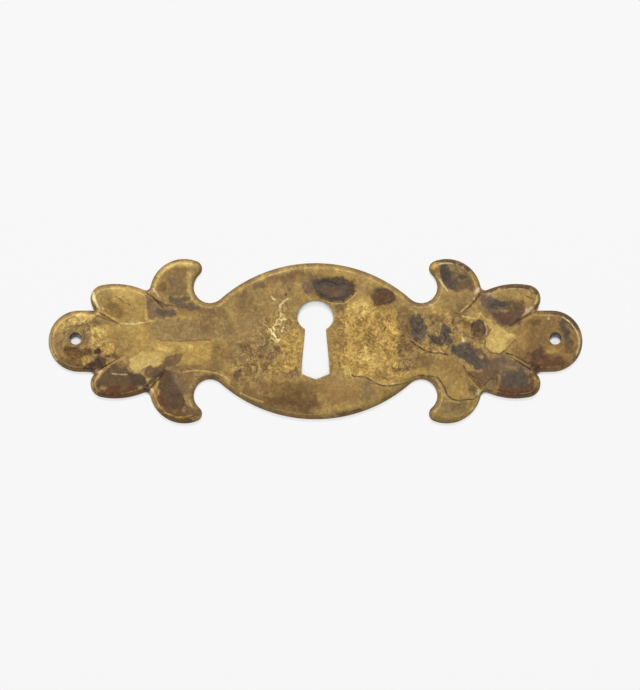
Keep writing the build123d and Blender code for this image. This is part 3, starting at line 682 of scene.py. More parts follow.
LINES = (
    Line("squiggle head", "straw", 0.26, 0.75, (
        (-4.6, 7.1), (-5.1, 6.7), (-5.5, 6.4), (-5.9, 6), (-5.9, 5.6),
    )),
    Line("squiggle", "straw", 0.24, 0.75, (
        (-6, 5.2), (-5.75, 4.5), (-6, 3.9), (-6.5, 3.4), (-6.6, 2.9), (-7, 2.3), (-6.8, 1.8),
        (-7.1, 1.2), (-6.7, 0.9), (-6.5, 0.3), (-6.2, 0.1),
    )),
    Line("squiggle right branch", "straw", 0.22, 0.75, (
        (-6.1, 3.7), (-5.6, 3.5), (-5.2, 3.75), (-4.9, 3.6),
    )),
    Line("squiggle left branch", "straw", 0.2, 0.75, ((-7.8, 2.1), (-7.4, 1.8), (-7.2, 1.2))),
    Line("squiggle dashes", "straw", 0.22, 0.75, ((-5.3, 2.3), (-5.7, 1.9), (-5.5, 1.6))),
    Line("burn lower rim", "bright", 0.15, 0.75, (
        (2.1, 6.45), (3.4, 6.2), (4.8, 6.3), (5.5, 6.7), (6.5, 7.6), (6.8, 8.1),
    )),
    Line("flake edge", "cocoa", 0.18, 0.85, (
        (6, -5.5), (6.3, -5.8), (8.2, -5.95), (9, -6.4), (10.1, -7.05), (11, -7.4), (12.2, -7.45),
        (14.3, -7.15), (15.2, -6.8),
    )),
    Line("nick line", "cocoa", 0.16, 0.7, ((3.5, -12), (5, -11.6), (7.5, -11.3))),
    Line("dark nick", "cocoa", 0.2, 0.8, ((11.7, 2.4), (11.4, 1.7))),
    Line("neck crack", "cocoa", 0.18, 0.8, (
        (15.8, 0.1), (16.9, -0.8), (18.1, -1.5), (19.5, -1.95), (20.8, -1.95), (22, -2.25),
    )),
    Line("hook flake", "cocoa", 0.18, 0.85, (
        (17, -5.6), (19.6, -5.85), (20.4, -6.1), (21, -6.9), (21.6, -8), (22, -9.1), (22.7, -9.6),
        (24, -9.9), (25.5, -9.65), (26.5, -9.6), (27, -8.9),
    )),
    Line("lower leaf gold outline", "cocoa", 0.16, 0.8, (
        (27.8, -7.6), (28.5, -6.8), (29, -6.3), (30.1, -6.2), (30.2, -7.4),
    )),
    Line("field edge", "umber", 0.2, 0.6, (
        (-26.5, 0.4), (-25.5, 0.1), (-22.5, 0), (-20.2, 0.15), (-17.6, 0.2),
    )),
    Line("leaf base light", "straw", 0.16, 0.6, ((-32.5, 3), (-31, 2.85), (-29.8, 2.9), (-27, 3.4))),
    Line("washer edge", "cocoa", 0.22, 0.38, (
        (-40.6, 4.1), (-40, 4.1), (-39.4, 3.5), (-39, 3.05), (-38.2, 2.85), (-37.55, 2.4), (-37.4, 1.6),
        (-37.35, 0.4),
    )),
    # Partly painted highlight, partly worn edge: a bright line along the left lobe's outer edge
    Line("lobe left light", "straw", 0.24, 0.65, (
        (-44.2, 2.4), (-44.3, 1), (-44.2, -0.5), (-43.8, -2), (-43.1, -3.1),
    )),
    Line("pit crack", "umber", 0.2, 0.8, (
        (-33.2, 7.4), (-32.6, 7.1), (-32.2, 6.8), (-31.8, 6.35), (-31.2, 6.25), (-30.8, 6),
    )),
    Line("lower leaf ridge", "tan", 0.26, 0.85, (
        (-36.8, -7), (-36.4, -6.2), (-35.6, -5.5), (-35, -4.6), (-34.1, -3.7), (-33.3, -3.1),
        (-32.4, -2.75), (-31.5, -2.9), (-31, -3.5),
    )),
    Line("lower leaf glint", "pink_glint_and_ring", 0.18, 0.5, ((-33.8, -5.4), (-32.5, -5.55), (-31.3, -5.55))),
    Line("lower hook arris", "gold", 0.2, 0.8, (
        (-25.2, -11.9), (-24, -12.2), (-23, -12.65), (-22, -12.65), (-20.5, -12.3),
    )),
    Line("hollow light", "bright", 0.2, 0.7, (
        (-22, -5.1), (-20, -4.85), (-18.3, -5), (-16.5, -5.3), (-15, -5.9), (-14.4, -6.5),
    )),
    Line("low left light", "bright", 0.26, 0.6, ((-12.5, -8.6), (-10.5, -9.5), (-8.8, -10.1))),
    # Painted highlight and shade along the upper creases: the light, pink, red and amber lines and the
    # dark lines paint the light and shade of the groove walls
    Line("upper notch pink", "pink_glint_and_ring", 0.2, 0.9, ((-27, 8.8), (-26.6, 8.2), (-26.1, 7.4))),
    Line("upper crease dark", "cocoa", 0.2, 0.8, (
        (-28.2, 8.1), (-27.1, 7.3), (-26, 6.55), (-24.6, 5.9),
    )),
    Line("upper crease red", "chestnut", 0.16, 0.7, ((-24.8, 6.1), (-24, 5.95), (-23.4, 5.8))),
    Line("lobe crease light", "bright", 0.2, 0.7, ((-36.2, 5.2), (-34.4, 4.2), (-32.6, 3.2))),
    Line("lobe crease dark", "bronze", 0.2, 0.8, ((-36.7, 4.4), (-34.8, 3.7), (-33, 3))),
    Line("lobe crease amber", "amber", 0.22, 0.7, ((-35.2, 5.2), (-34, 4.5), (-32.6, 4))),
    Line("hook inner light", "straw", 0.22, 0.7, (
        (20, 10.9), (20.6, 10.3), (21, 9.6), (21.5, 8.9), (21.9, 8.4),
    )),
    # Painted highlight along the hook's upper arris, then painted highlight and shade along the hook's
    # crease
    Line("hook top light", "straw", 0.15, 0.5, ((20.8, 13), (22.2, 13), (24, 12.6), (25.2, 11.8))),
    Line("hook crease light", "bright", 0.2, 0.75, ((26, 6.5), (25.2, 5.8), (24.2, 4.9))),
    Line("hook crease dark", "cocoa", 0.2, 0.8, ((27.4, 7.9), (26.8, 7), (26, 6.1), (25.3, 5.4))),
    Line("strap gold streak", "bright", 0.28, 0.85, (
        (24.3, 4.15), (25.3, 4), (26.6, 3.75), (27.2, 4.1),
    )),
    Line("spot ring", "pink_glint_and_ring", 0.16, 0.45, ((28.2, 2.9), (28.5, 2), (28.4, 1.1))),
    Line("leaf wave", "khaki", 0.2, 0.7, ((29.8, 5.8), (31, 5.4), (32, 5.9), (32.7, 5.8))),
    Line("leaf crack", "bronze", 0.15, 0.8, ((33.9, 8.3), (34.9, 7.6), (36.2, 7))),
    Line("lobe crease shade", "cocoa", 0.22, 0.65, ((34, 3.5), (35.2, 4.2), (36.6, 4.9))),
    Line("lobe top light", "straw", 0.18, 0.5, ((38.9, 4.7), (38.7, 3.7))),
    # Partly painted highlight, partly worn edge: a bright line along the right lobe's outer edge
    Line("lobe right light", "straw", 0.26, 0.7, (
        (41.2, 4.1), (42.4, 3.1), (43.2, 2.1), (43.7, 1), (43.9, 0), (43.8, -1), (43.4, -2.2),
    )),
    # Painted shade along the lower creases, with a painted highlight beside one of them
    Line("lower hook crease", "cocoa", 0.22, 0.85, (
        (24.6, -4.1), (25.2, -5), (26.2, -5.9), (27, -6.8), (27.7, -7.6),
    )),
    Line("lower lobe crease", "cocoa", 0.2, 0.85, (
        (31.8, -2), (33.1, -2.4), (34.3, -3), (35.4, -3.9), (36.6, -4.9),
    )),
    Line("lower lobe crease light", "tan", 0.16, 0.7, ((32.6, -2.6), (34.3, -3.4), (36.2, -4.8))),
    Line("lower leaf bottom dark", "cocoa", 0.18, 0.8, (
        (29.9, -8.1), (31.5, -8.4), (33.5, -8.5), (35.5, -8.4),
    )),
    Line("lower hook rim", "bright", 0.26, 0.8, ((27.1, -9.5), (26.4, -10.7), (25.4, -11.9))),
    Line("lower hook low arris", "gold", 0.18, 0.7, (
        (20.7, -12.4), (22.5, -12.7), (24.5, -12.3), (25.4, -11.9),
    )),
    Line("squiggle lower hook", "straw", 0.2, 0.7, ((-6.8, 2.6), (-6.3, 2.85), (-5.9, 2.75))),
    # Painted highlight along the upper left leaf's tip edge
    Line("leaf tip light", "straw", 0.4, 0.9, ((-37, 8), (-36.95, 7.2), (-36.5, 6.4), (-36.3, 5.7))),
    Line("leaf side light", "bright", 0.42, 0.8, (
        (-28.3, 5.3), (-28.2, 4.2), (-27.9, 3.4), (-27, 3.3),
    )),
    Line("flake edge light", "bright", 0.2, 0.6, (
        (6.4, -5.5), (8.2, -5.65), (9.2, -6.1), (10.3, -6.75), (11.1, -7.1), (12.2, -7.15),
        (14.2, -6.85),
    )),
    Line("hook flake light", "bright", 0.18, 0.5, (
        (20.2, -6.6), (20.7, -7.2), (21.2, -8.2), (21.7, -9.4), (22.6, -10), (24, -10.25),
    )),
    Line("neck crack light", "bright", 0.18, 0.45, (
        (16.2, 0.2), (17, -0.45), (18.2, -1.15), (19.5, -1.6), (21, -1.65),
    )),
    Line("hollow outline", "cocoa", 0.2, 0.4, ((14.3, -7.1), (15.4, -6.3), (16.6, -5.75), (18, -5.65))),
    Line("blob outline", "bronze", 0.18, 0.6, (
        (28.3, 0.2), (28.1, -1), (29, -1.9), (30.7, -2.1), (31.8, -1.3), (33.4, 0.4),
    )),
    Line("burn inner line", "soot", 0.26, 0.8, (
        (0.4, 8.3), (1.2, 7.6), (2.6, 7.1), (4.2, 7.2), (5.2, 7.8),
    )),
    Line("burn upper line", "soot", 0.3, 0.8, (
        (0.2, 9.6), (1.4, 10), (2.8, 9.9), (3.6, 9.4), (4.6, 9.7), (5.4, 9.4),
    )),
    Line("red spot line", "soot", 0.2, 0.7, (
        (9.8, 7.1), (10.3, 8.4), (11.4, 8.7), (12.4, 8.3), (13.2, 7.3), (12.4, 6.6), (11, 6.1),
        (10, 6.2), (9.8, 7.1),
    )),
    Line("spot dark line", "soot", 0.18, 0.6, (
        (25.9, 1.8), (26.1, 2.9), (26.8, 3.4), (27.7, 3.3), (28.1, 2.3), (28, 1.2),
    )),
    Line("squiggle upper barb", "straw", 0.24, 0.7, ((-7.3, 7.4), (-7, 7), (-6.7, 6.9))),
    Line("squiggle low barbs", "straw", 0.2, 0.7, ((-7.4, 0.6), (-6.9, 0.2), (-6.4, -0.2), (-6, 0.3))),
    # Painted shade: dark lines just outside the upper edges' highlight, where the edges turn down
    Line("hook rim dark", "cocoa", 0.65, 0.9, ((20.2, 13.4), (22.4, 13.4), (24.4, 12.6), (25.4, 11.9))),
    Line("leaf rim dark", "cocoa", 0.65, 0.9, (
        (28.4, 8.4), (30.5, 9.05), (33, 9.25), (35.5, 8.95), (36.7, 8.1),
    )),
    Line("lobe rim dark", "cocoa", 0.65, 0.9, ((38.4, 4.85), (40.6, 4.75), (42.3, 3.8), (43.55, 2.3))),
    # Painted highlight along the right leaf's tip edge
    Line("leaf tip edge light", "straw", 0.22, 0.7, ((36.9, 7.5), (36.9, 6.9), (36.5, 6.2))),
    Line("low neck rim", "umber", 0.45, 0.7, ((17.6, -5.9), (19.1, -6.2), (20.2, -7))),
    Line("upper hook inner light", "bright", 0.4, 0.7, ((-20.6, 10), (-20.1, 10.8), (-19.5, 11.6))),
)

# Where the film has crinkled into fine folds, painted with shade and highlight by the mottle, as
# corners of convex fields in millimetres
CRINKLED = {
    "right of the keyhole": (
        (2.8, 3.8), (7, 6.5), (13.5, 5), (16.5, 1), (16.5, -4.5), (14, -6.8), (10.5, -6.8), (2.9, -4.6),
    ),
    "left of the slot": ((-7.6, 4), (-5, 6.8), (-2.4, 0), (-2.8, -5.8), (-13.5, -6.5), (-14.2, -3.5)),
    "right strap": ((16.5, 4.2), (22, 4.6), (28, 3.2), (28, -1), (22.5, -2.6), (16.5, -2.5)),
    "left lobe": (
        (-43, 2.5), (-40, 4.3), (-36, 3), (-33.5, -0.5), (-34, -3.5), (-38.5, -4.5), (-42, -3),
    ),
}


def display(red, green, blue):
    """The scene colour of a display colour, given in steps of 255."""
    full = 255
    return tuple(Color((red / full, green / full, blue / full)).from_srgb_to_scene_linear())


def length(name, description, default):
    """A property that holds a length in metres."""
    return FloatProperty(
        name=name, description=description, default=default, min=0.0, unit="LENGTH", precision=5
    )


def share(name, description, default, high=1.0):
    """A property that holds a share or a plain factor."""
    return FloatProperty(
        name=name, description=description, default=default, min=0.0, max=high, subtype="FACTOR"
    )


def hue(name, description, default):
    """A property that holds a colour."""
    return FloatVectorProperty(
        name=name, description=description, default=default, min=0.0, max=1.0, size=3, subtype="COLOR"
    )


class EscutcheonPlate(PropertyGroup):
    """Sizes of the pressed plate"""

    front_pitch: length("Front pitch", "Spacing of the points on the front face", 0.2 * MM)
    back_pitch: length("Back pitch", "Spacing of the points behind the sheet", 0.4 * MM)
    arris: length("Arris", "How far the bevel's upper edge is worn round", 0.22 * MM)
    crease_share: share("Crease share", "How deep the creases still are in the worn plate", 0.75)
    hole_lip: length("Hole lip", "How far the sheet is drawn in at punched edges", 0.06 * MM)
    bow_depth: length("Bow depth", "Deepest of the wide, soft dents", 0.07 * MM)
    bow_span: length("Bow span", "Distance between the wide, soft dents", 9 * MM)
    pit_depth: length("Pit depth", "Deepest of the corrosion pits", 0.025 * MM)
    pit_span: length("Pit span", "Distance between the corrosion pits", 0.8 * MM)
    seed: IntProperty(name="Seed", description="Picks another set of dents and pits", default=7)


class EscutcheonFinish(PropertyGroup):
    """Colours of the brass, of what has settled on it, and of painted light and shade"""

    # Some colours also paint light and shade: bright, straw, tan, amber, chestnut and the pink glint
    # colour paint highlights on edges, creases and facets, and bronze, umber, cocoa and soot paint
    # shade along creases, edges and bevels
    ground: hue("Ground", "Aged brass between the stains", display(164, 137, 88))
    olive: hue("Olive", "Dull greenish brass", display(157, 131, 88))
    khaki: hue("Khaki", "Greyed brass", display(136, 116, 80))
    gold: hue("Gold", "Rubbed brass", display(190, 156, 88))
    bright: hue("Bright", "Nearly bare brass", display(213, 183, 110))
    straw: hue("Straw", "Bare brass on worn edges and flakes", display(246, 230, 172))
    tan: hue("Tan", "Thin brown film", display(162, 129, 80))
    amber: hue("Amber", "Orange-brown film", display(150, 108, 58))
    bronze: hue("Bronze", "Yellow-brown film", display(117, 89, 55))
    umber: hue("Umber", "Brown film", display(118, 93, 69))
    cocoa: hue("Cocoa", "Dark brown film", display(88, 68, 56))
    chestnut: hue("Chestnut", "Red-brown film", display(108, 74, 55))
    plum: hue("Plum", "Purplish film", display(116, 95, 83))
    slate: hue("Slate", "Dark grey film", display(95, 84, 75))
    soot: hue("Soot", "Nearly black film", display(72, 63, 59))
    # Painted highlight: the pink glints on crease walls, notches and the lower leaf; also a pinkish
    # ring by a spot
    pink_glint_and_ring: hue("Pink glint and ring", "Pinkish painted highlight on crease walls and notches, and a pinkish ring by a spot", display(236, 200, 176))
    back: hue("Back", "Brass behind the sheet", display(138, 110, 66))


class EscutcheonStage(PropertyGroup):
    """Floor, light and camera"""

    floor: hue("Floor", "Pale floor", (0.945, 0.945, 0.945))
    evenness: share("Evenness", "How much of the open floor's shade is evened out", 0.8)
    fill: share("Fill", "Light of the surroundings on the floor", 0.24, high=4.0)
    shine: share("Shine", "Light of the surroundings that the brass mirrors", 1.22, high=4.0)
    slant: share("Slant", "How much brighter the far side is than the middle", 0.45)
    left: share("Left", "How much brighter the left is than the middle", 0.25)
    sides: share("Sides", "How much brighter left and right both are", 0.15)
    key_power: FloatProperty(
        name="Key power",
        description="Power of the soft lamp on the far side",
        default=44.0,
        unit="POWER",
    )
    key_width: length("Key width", "Width of the soft lamp", 0.5)
    key_height: length("Key height", "Height of the soft lamp above the floor", 1.9)
    key_back: length("Key back", "Distance of the soft lamp behind the plate", 1.2)
    camera_height: length("Camera height", "Distance from the plate's face up to the camera", 0.5)


# Reading the CAD plate

def merged_plate():
    """A copy of the CAD plate's mesh with its loose triangles joined."""
    copy = bmesh.new()
    copy.from_mesh(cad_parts[PLATE_NODE].data)
    bmesh.ops.remove_doubles(copy, verts=copy.verts, dist=SAME_PLACE)
    copy.normal_update()
    return copy


def flat_faces(mesh, height, side):
    """The faces of a mesh that lie flat at a height and look up or down."""
    upright = 0.999  # least upward part of a flat face's normal
    return [
        face
        for face in mesh.faces
        if face.normal.z * side > upright and abs(face.calc_center_median().z - height) < SAME_HEIGHT
    ]


def turning(loop):
    """Twice the area inside a closed loop, positive where it runs anticlockwise."""
    ahead = np.roll(loop, -1, axis=0)
    return float(np.sum(loop[:, 0] * ahead[:, 1] - loop[:, 1] * ahead[:, 0]))


def loops_round(faces):
    """The closed loops round a set of faces, anticlockwise, the widest first."""
    chosen = set(faces)
    ahead = {}
    for face in faces:
        for corner in face.loops:
            if not any(other in chosen for other in corner.edge.link_faces if other != face):
                ahead[corner.vert] = corner.link_loop_next.vert
    loops = []
    while ahead:
        start, vert = ahead.popitem()
        loop = [start.co.xy]
        while vert != start:
            loop.append(vert.co.xy)
            vert = ahead.pop(vert)
        loop = np.array(loop)
        loops.append(loop if turning(loop) > 0 else loop[::-1])
    return sorted(loops, key=turning, reverse=True)


def crease_lines(mesh, side):
    """The edges of the creases on the front or the back, as pairs of points."""
    known = (1.0, sqrt(0.5), 0.0)  # upward part of the normal of flats, bevels and walls
    near = 0.02  # how close to these a normal still counts as one of them
    least_bend = 0.03  # in radians, between the faces beside an edge
    lines = []
    for edge in mesh.edges:
        normals = [face.normal.z * side for face in edge.link_faces]
        if min(normals) < near or edge.calc_face_angle() < least_bend:
            continue
        if any(all(abs(up - level) > near for level in known) for up in normals):
            lines.append(tuple(vert.co.copy() for vert in edge.verts))
    return lines


# Laying out the blank

def even_loop(corners, pitch):
    """A closed loop at an even pitch, rounded where its corners are blunt and straight elsewhere."""
    blunt = cos(radians(25))
    much_longer = 2.5
    runs = np.roll(corners, -1, axis=0) - corners
    lengths = np.linalg.norm(runs, axis=1)
    ways = runs / lengths[:, None]
    before, before_length = np.roll(ways, 1, axis=0), np.roll(lengths, 1)
    tangents = before * lengths[:, None] + ways * before_length[:, None]
    tangents /= np.linalg.norm(tangents, axis=1)[:, None]
    # Beside a long straight run the tangent is that run's own
    long_before = before_length > much_longer * lengths
    tangents[long_before] = before[long_before]
    long_ahead = lengths > much_longer * before_length
    tangents[long_ahead] = ways[long_ahead]
    smooth = np.sum(before * ways, axis=1) > blunt
    points = []
    for i, (corner, run) in enumerate(zip(corners, runs)):
        last = (i + 1) % len(corners)
        leave = (tangents[i] if smooth[i] else ways[i]) * lengths[i]
        reach = (tangents[last] if smooth[last] else ways[i]) * lengths[i]
        steps = max(1, ceil(lengths[i] / pitch))
        for t in np.arange(steps) / steps:
            bend = (t**3 - 2 * t**2 + t) * leave + (t**3 - t**2) * reach
            points.append(corner + (3 * t**2 - 2 * t**3) * run + bend)
    return np.array(points)


def nearest(points):
    """A search tree of points in the plane."""
    tree = KDTree(len(points))
    for i, (x, y) in enumerate(points):
        tree.insert((x, y, 0.0), i)
    tree.balance()
    return tree


def gap(tree, point):
    """The distance from a point in the plane to the nearest one of a tree."""
    return tree.find((point[0], point[1], 0.0))[2]


def ring(loop, inwards, border, apart):
    """Points at a distance inside a loop, or outside it where the distance is negative."""
    slack = 0.97  # share of the distance that a point keeps from the whole border
    ahead = np.roll(loop, -1, axis=0) - np.roll(loop, 1, axis=0)
    left = np.stack([-ahead[:, 1], ahead[:, 0]], axis=1) / np.linalg.norm(ahead, axis=1)[:, None]
    kept = []
    for point in loop + left * inwards:
        clear = gap(border, point) > slack * abs(inwards)
        if clear and (not kept or np.hypot(*(point - kept[-1])) > apart):
            kept.append(point)
    return kept


def net(low, high, pitch):
    """A net of equal triangles over a rectangle."""
    row_height = pitch * sqrt(0.75)
    points = []
    for row in range(ceil((high.y - low.y) / row_height)):
        y = low.y + (row + 0.5) * row_height
        for x in np.arange(low.x + pitch * (0.25 + 0.5 * (row % 2)), high.x, pitch):
            points.append((x, y))
    return points


def inside(loop, points):
    """Which points lie inside a closed loop."""
    ahead = np.roll(loop, -1, axis=0)
    found = np.zeros(len(points), bool)
    for i, (x, y) in enumerate(points):
        spans = (loop[:, 1] > y) != (ahead[:, 1] > y)
        a, b = loop[spans], ahead[spans]
        cuts = a[:, 0] + (y - a[:, 1]) / (b[:, 1] - a[:, 1]) * (b[:, 0] - a[:, 0])
        found[i] = np.count_nonzero(cuts > x) % 2
    return found


def fill(loops, lines=(), points=()):
    """Triangles inside the first loop and outside the others, with their edges along the lines.

    Gives the places, the triangles and the number that each point of each loop has among the places."""
    inside_only = 1  # the kind of result that leaves out what is outside the loops
    places, edges, starts = [], [], []
    for loop in loops:
        first, count = len(places), len(loop)
        starts.append((first, count))
        places.extend(Vector(point) for point in loop)
        edges.extend((first + i, first + (i + 1) % count) for i in range(count))
    for run in lines:
        edges.extend((len(places) + i, len(places) + i + 1) for i in range(len(run) - 1))
        places.extend(Vector(point) for point in run)
    places.extend(Vector(point) for point in points)
    done, _, faces, origins, _, _ = delaunay_2d_cdt(places, edges, [], inside_only, SAME_PLACE)
    number = {old: new for new, olds in enumerate(origins) for old in olds}
    numbers = [[number[first + i] for i in range(count)] for first, count in starts]
    flat = np.array(done)
    faces = np.array(faces)
    for loop, corners in zip(loops[1:], numbers[1:]):
        spanning = np.isin(faces, corners).all(axis=1)
        middles = flat[faces[spanning]].mean(axis=1)
        drop = np.flatnonzero(spanning)[inside(loop, middles)]
        faces = np.delete(faces, drop, axis=0)
    return flat, faces, numbers


def stepped(start, end, pitch):
    """Points along a straight line from start to end."""
    steps = max(1, ceil((end - start).length / pitch))
    return [start.lerp(end, i / steps).xy for i in range(steps + 1)]


class Blank:
    """The plate's mesh while it is put together: places, faces and what the press needs to know."""

    def __init__(self):
        self.places = []
        self.faces = []
        self.known = {"front": [], "edge_gap": [], "hole_gap": [], "crease_drop": []}

    def add(self, places, **known):
        """Adds points, with what is known of them, and gives their numbers."""
        first, count = len(self.places), len(places)
        self.places.extend(tuple(place) for place in places)
        for label, values in self.known.items():
            values.extend(known.get(label, [0] * count))
        return list(range(first, first + count))

    def band(self, upper, lower):
        """Joins two loops of as many points by a band of quads."""
        for i in range(len(upper)):
            last = (i + 1) % len(upper)
            self.faces.append((upper[i], upper[last], lower[last], lower[i]))

    def cover(self, corners, triangles, loops):
        """Adds triangles between points, and gives the numbers of the points on each loop."""
        self.faces.extend(tuple(corners[i] for i in triangle) for triangle in triangles)
        return [[corners[i] for i in loop] for loop in loops]

    def mesh(self, name):
        """The finished mesh, closed and with its faces outwards."""
        made = bpy.data.meshes.new(name)
        made.from_pydata(self.places, [], self.faces)
        for label, values in self.known.items():
            kind = "BOOLEAN" if label == "front" else "FLOAT"
            made.attributes.new(label, kind, "POINT").data.foreach_set("value", values)
        shell = bmesh.new()
        shell.from_mesh(made)
        if any(not edge.is_manifold for edge in shell.edges):
            raise RuntimeError("the plate's mesh isn't closed")
        bmesh.ops.recalc_face_normals(shell, faces=shell.faces)
        shell.to_mesh(made)
        shell.free()
        return made


def cut_blank(plate):
    """The plate's mesh with a flat front, ready for the press, and the width of its bevel."""
    cad = merged_plate()
    surface = BVHTree.FromBMesh(cad)
    depth, pitch = PLATE_HIGH.z, plate.front_pitch
    rim = loops_round(flat_faces(cad, 0.0, -1))
    face = loops_round(flat_faces(cad, depth, 1))
    bevel = rim[0][:, 0].max() - face[0][:, 0].max()
    outline = even_loop(rim[0], pitch)
    border = nearest(even_loop(rim[0], BORDER_PITCH * pitch))
    holes = [even_loop(loop, pitch) for loop in face[1:]]
    hole_points = [even_loop(loop, BORDER_PITCH * pitch) for loop in face[1:]]
    hole_border = nearest(np.concatenate(hole_points))

    blank = Blank()
    front = add_front(blank, plate, cad, surface, bevel, outline, border, holes, hole_border)
    inner = even_loop(rim[1], RIM_PITCH * pitch)
    back = add_back(blank, plate, cad, surface, inner, holes)

    # The outer wall, the rim that meets the drawer front, and the walls of the holes
    wall = front[0]
    for step in range(1, WALL_STEPS + 1):
        height = (depth - bevel) * (1 - step / WALL_STEPS)
        lower = blank.add([(x, y, height) for x, y in outline])
        blank.band(wall, lower)
        wall = lower
    inner_rim = blank.add([(x, y, 0.0) for x, y in inner])
    blank.band(back[0], inner_rim)
    _, triangles, numbers = fill([outline, inner])
    rim_numbers = dict(zip(numbers[0] + numbers[1], wall + inner_rim))
    blank.cover(rim_numbers, triangles, numbers)
    for front_hole, back_hole in zip(front[1:], back[1:]):
        blank.band(front_hole, back_hole)
    cad.free()
    return blank.mesh("pressed_plate"), bevel


def add_front(blank, plate, cad, surface, bevel, outline, border, holes, hole_border):
    """Adds the front face, still flat, and gives the numbers of its outline and holes."""
    depth, pitch = PLATE_HIGH.z, plate.front_pitch
    above, down = 2 * depth, Vector((0, 0, -1))
    lines = [stepped(a, b, pitch) for a, b in crease_lines(cad, 1)]
    fixed = [point for run in lines for point in run]
    crease_border = nearest(fixed)
    points = []
    for width in BEVEL_RINGS:
        points.extend(ring(outline, width * bevel, border, POINT_GAP * pitch))
    for hole in holes:
        for width in HOLE_RINGS:
            points.extend(ring(hole, -width * pitch, hole_border, POINT_GAP * pitch))
    points = [point for point in points if gap(crease_border, point) > CREASE_GAP * pitch]
    taken = nearest(points + fixed)
    for point in net(PLATE_LOW, PLATE_HIGH, pitch):
        if gap(border, point) < BEVEL_RINGS[-1] * bevel:
            continue
        if gap(hole_border, point) < NET_GAP * pitch:
            continue
        clear = gap(taken, point) > POINT_GAP * pitch
        if clear and surface.ray_cast(Vector((*point, above)), down)[0]:
            points.append(point)

    flat, triangles, numbers = fill([outline] + holes, lines, points)
    known = {
        "front": [True] * len(flat),
        "edge_gap": [gap(border, point) for point in flat],
        "hole_gap": [gap(hole_border, point) for point in flat],
        "crease_drop": [],
    }
    for point, inwards in zip(flat, known["edge_gap"]):
        hit = surface.ray_cast(Vector((*point, above)), down)[0]
        drop = depth - hit.z if hit else 0.0
        in_crease = drop > max(bevel - inwards, 0.0) + HAIR
        known["crease_drop"].append(drop if in_crease else 0.0)
    corners = blank.add([(x, y, depth) for x, y in flat], **known)
    return blank.cover(corners, triangles, numbers)


def add_back(blank, plate, cad, surface, inner, holes):
    """Adds the hollow behind the sheet and gives the numbers of its outline and holes."""
    pitch = plate.back_pitch
    below, up = -PLATE_HIGH.z, Vector((0, 0, 1))
    least_height = 0.1 * MM  # what is lower is the rim, not the hollow
    border = nearest(inner)
    hole_border = nearest(np.concatenate(holes))
    lines = [stepped(a, b, pitch) for a, b in crease_lines(cad, -1)]
    lines = [[point for point in run if gap(border, point) > CREASE_GAP * pitch] for run in lines]
    taken = nearest([point for run in lines for point in run])
    points = []
    for width in BACK_RINGS:
        points.extend(ring(inner, width * pitch, border, POINT_GAP * pitch))
    points = [point for point in points if gap(taken, point) > CREASE_GAP * pitch]
    ceiling = 0.0
    for point in net(PLATE_LOW, PLATE_HIGH, pitch):
        if gap(border, point) < NET_GAP * pitch:
            continue
        if min(gap(hole_border, point), gap(taken, point)) < POINT_GAP * pitch:
            continue
        hit = surface.ray_cast(Vector((*point, below)), up)[0]
        if hit and hit.z > least_height:
            points.append(point)
            ceiling = max(ceiling, hit.z)

    flat, triangles, numbers = fill([inner] + holes, lines, points)
    rim_corners = dict(zip(numbers[0], range(len(inner))))
    heights = []
    for i, (x, y) in enumerate(flat):
        if i in rim_corners:
            # The edge of the hollow is read a little further in, where the ray can't miss it
            at = rim_corners[i]
            ahead = inner[(at + 1) % len(inner)] - inner[at - 1]
            x, y = inner[at] + np.array((-ahead[1], ahead[0])) / np.hypot(*ahead) * HAIR
        hit = surface.ray_cast(Vector((x, y, below)), up)[0]
        height = hit.z if hit else ceiling
        heights.append(height - HAIR if i in rim_corners else height)
    corners = blank.add([(x, y, z) for (x, y), z in zip(flat, heights)])
    return blank.cover(corners, triangles, numbers)


# Building node trees

# Places of a Mix node's sockets, because those for numbers and for colours share their names
MIX_NUMBERS = (2, 3)
MIX_COLOURS = (6, 7)
MIXED_NUMBER = 0
MIXED_COLOUR = 2


def join(socket, value):
    """Links a socket to another one, or gives it a plain value."""
    if isinstance(value, bpy.types.NodeSocket):
        socket.id_data.links.new(value, socket)
    else:
        socket.default_value = value


def add_node(tree, kind, values=(), **settings):
    """Adds a node with its settings and with values for its inputs, by number or by name."""
    made = tree.nodes.new(kind)
    for name, value in settings.items():
        setattr(made, name, value)
    for key, value in values.items() if isinstance(values, dict) else enumerate(values):
        join(made.inputs[key], value)
    return made


def new_tree(name, kind, inputs, outputs):
    """A node group with named sockets, and the sockets inside it that they lead to."""
    tree = bpy.data.node_groups.new(name, kind)
    for side, sockets in (("INPUT", inputs), ("OUTPUT", outputs)):
        for label, socket in sockets:
            tree.interface.new_socket(label, in_out=side, socket_type=f"NodeSocket{socket}")
    return tree, tree.nodes.new("NodeGroupInput").outputs, tree.nodes.new("NodeGroupOutput").inputs


def place_group(tree, group, values):
    """Places a shader group in a tree with its own values."""
    made = tree.nodes.new("ShaderNodeGroup")
    made.node_tree = group
    for key, value in values.items():
        join(made.inputs[key], value)
    return made.outputs


def math(tree, operation, *values):
    """A number worked out from others."""
    return add_node(tree, "ShaderNodeMath", values, operation=operation).outputs[0]


def vector(tree, operation, *values):
    """A vector, or the length or product of vectors, worked out from others."""
    made = add_node(tree, "ShaderNodeVectorMath", values, operation=operation)
    return made.outputs["Value" if operation in ("LENGTH", "DOT_PRODUCT") else "Vector"]


def scaled(tree, place, factor):
    """A vector made longer or shorter."""
    values = {0: place, "Scale": factor}
    return add_node(tree, "ShaderNodeVectorMath", values, operation="SCALE").outputs["Vector"]


def ramp(tree, value, low, high, start=0.0, end=1.0):
    """A soft step from start to end while a value goes from low to high."""
    values = (value, low, high, start, end)
    settings = {"interpolation_type": "SMOOTHSTEP", "clamp": False}
    return add_node(tree, "ShaderNodeMapRange", values, **settings).outputs[0]


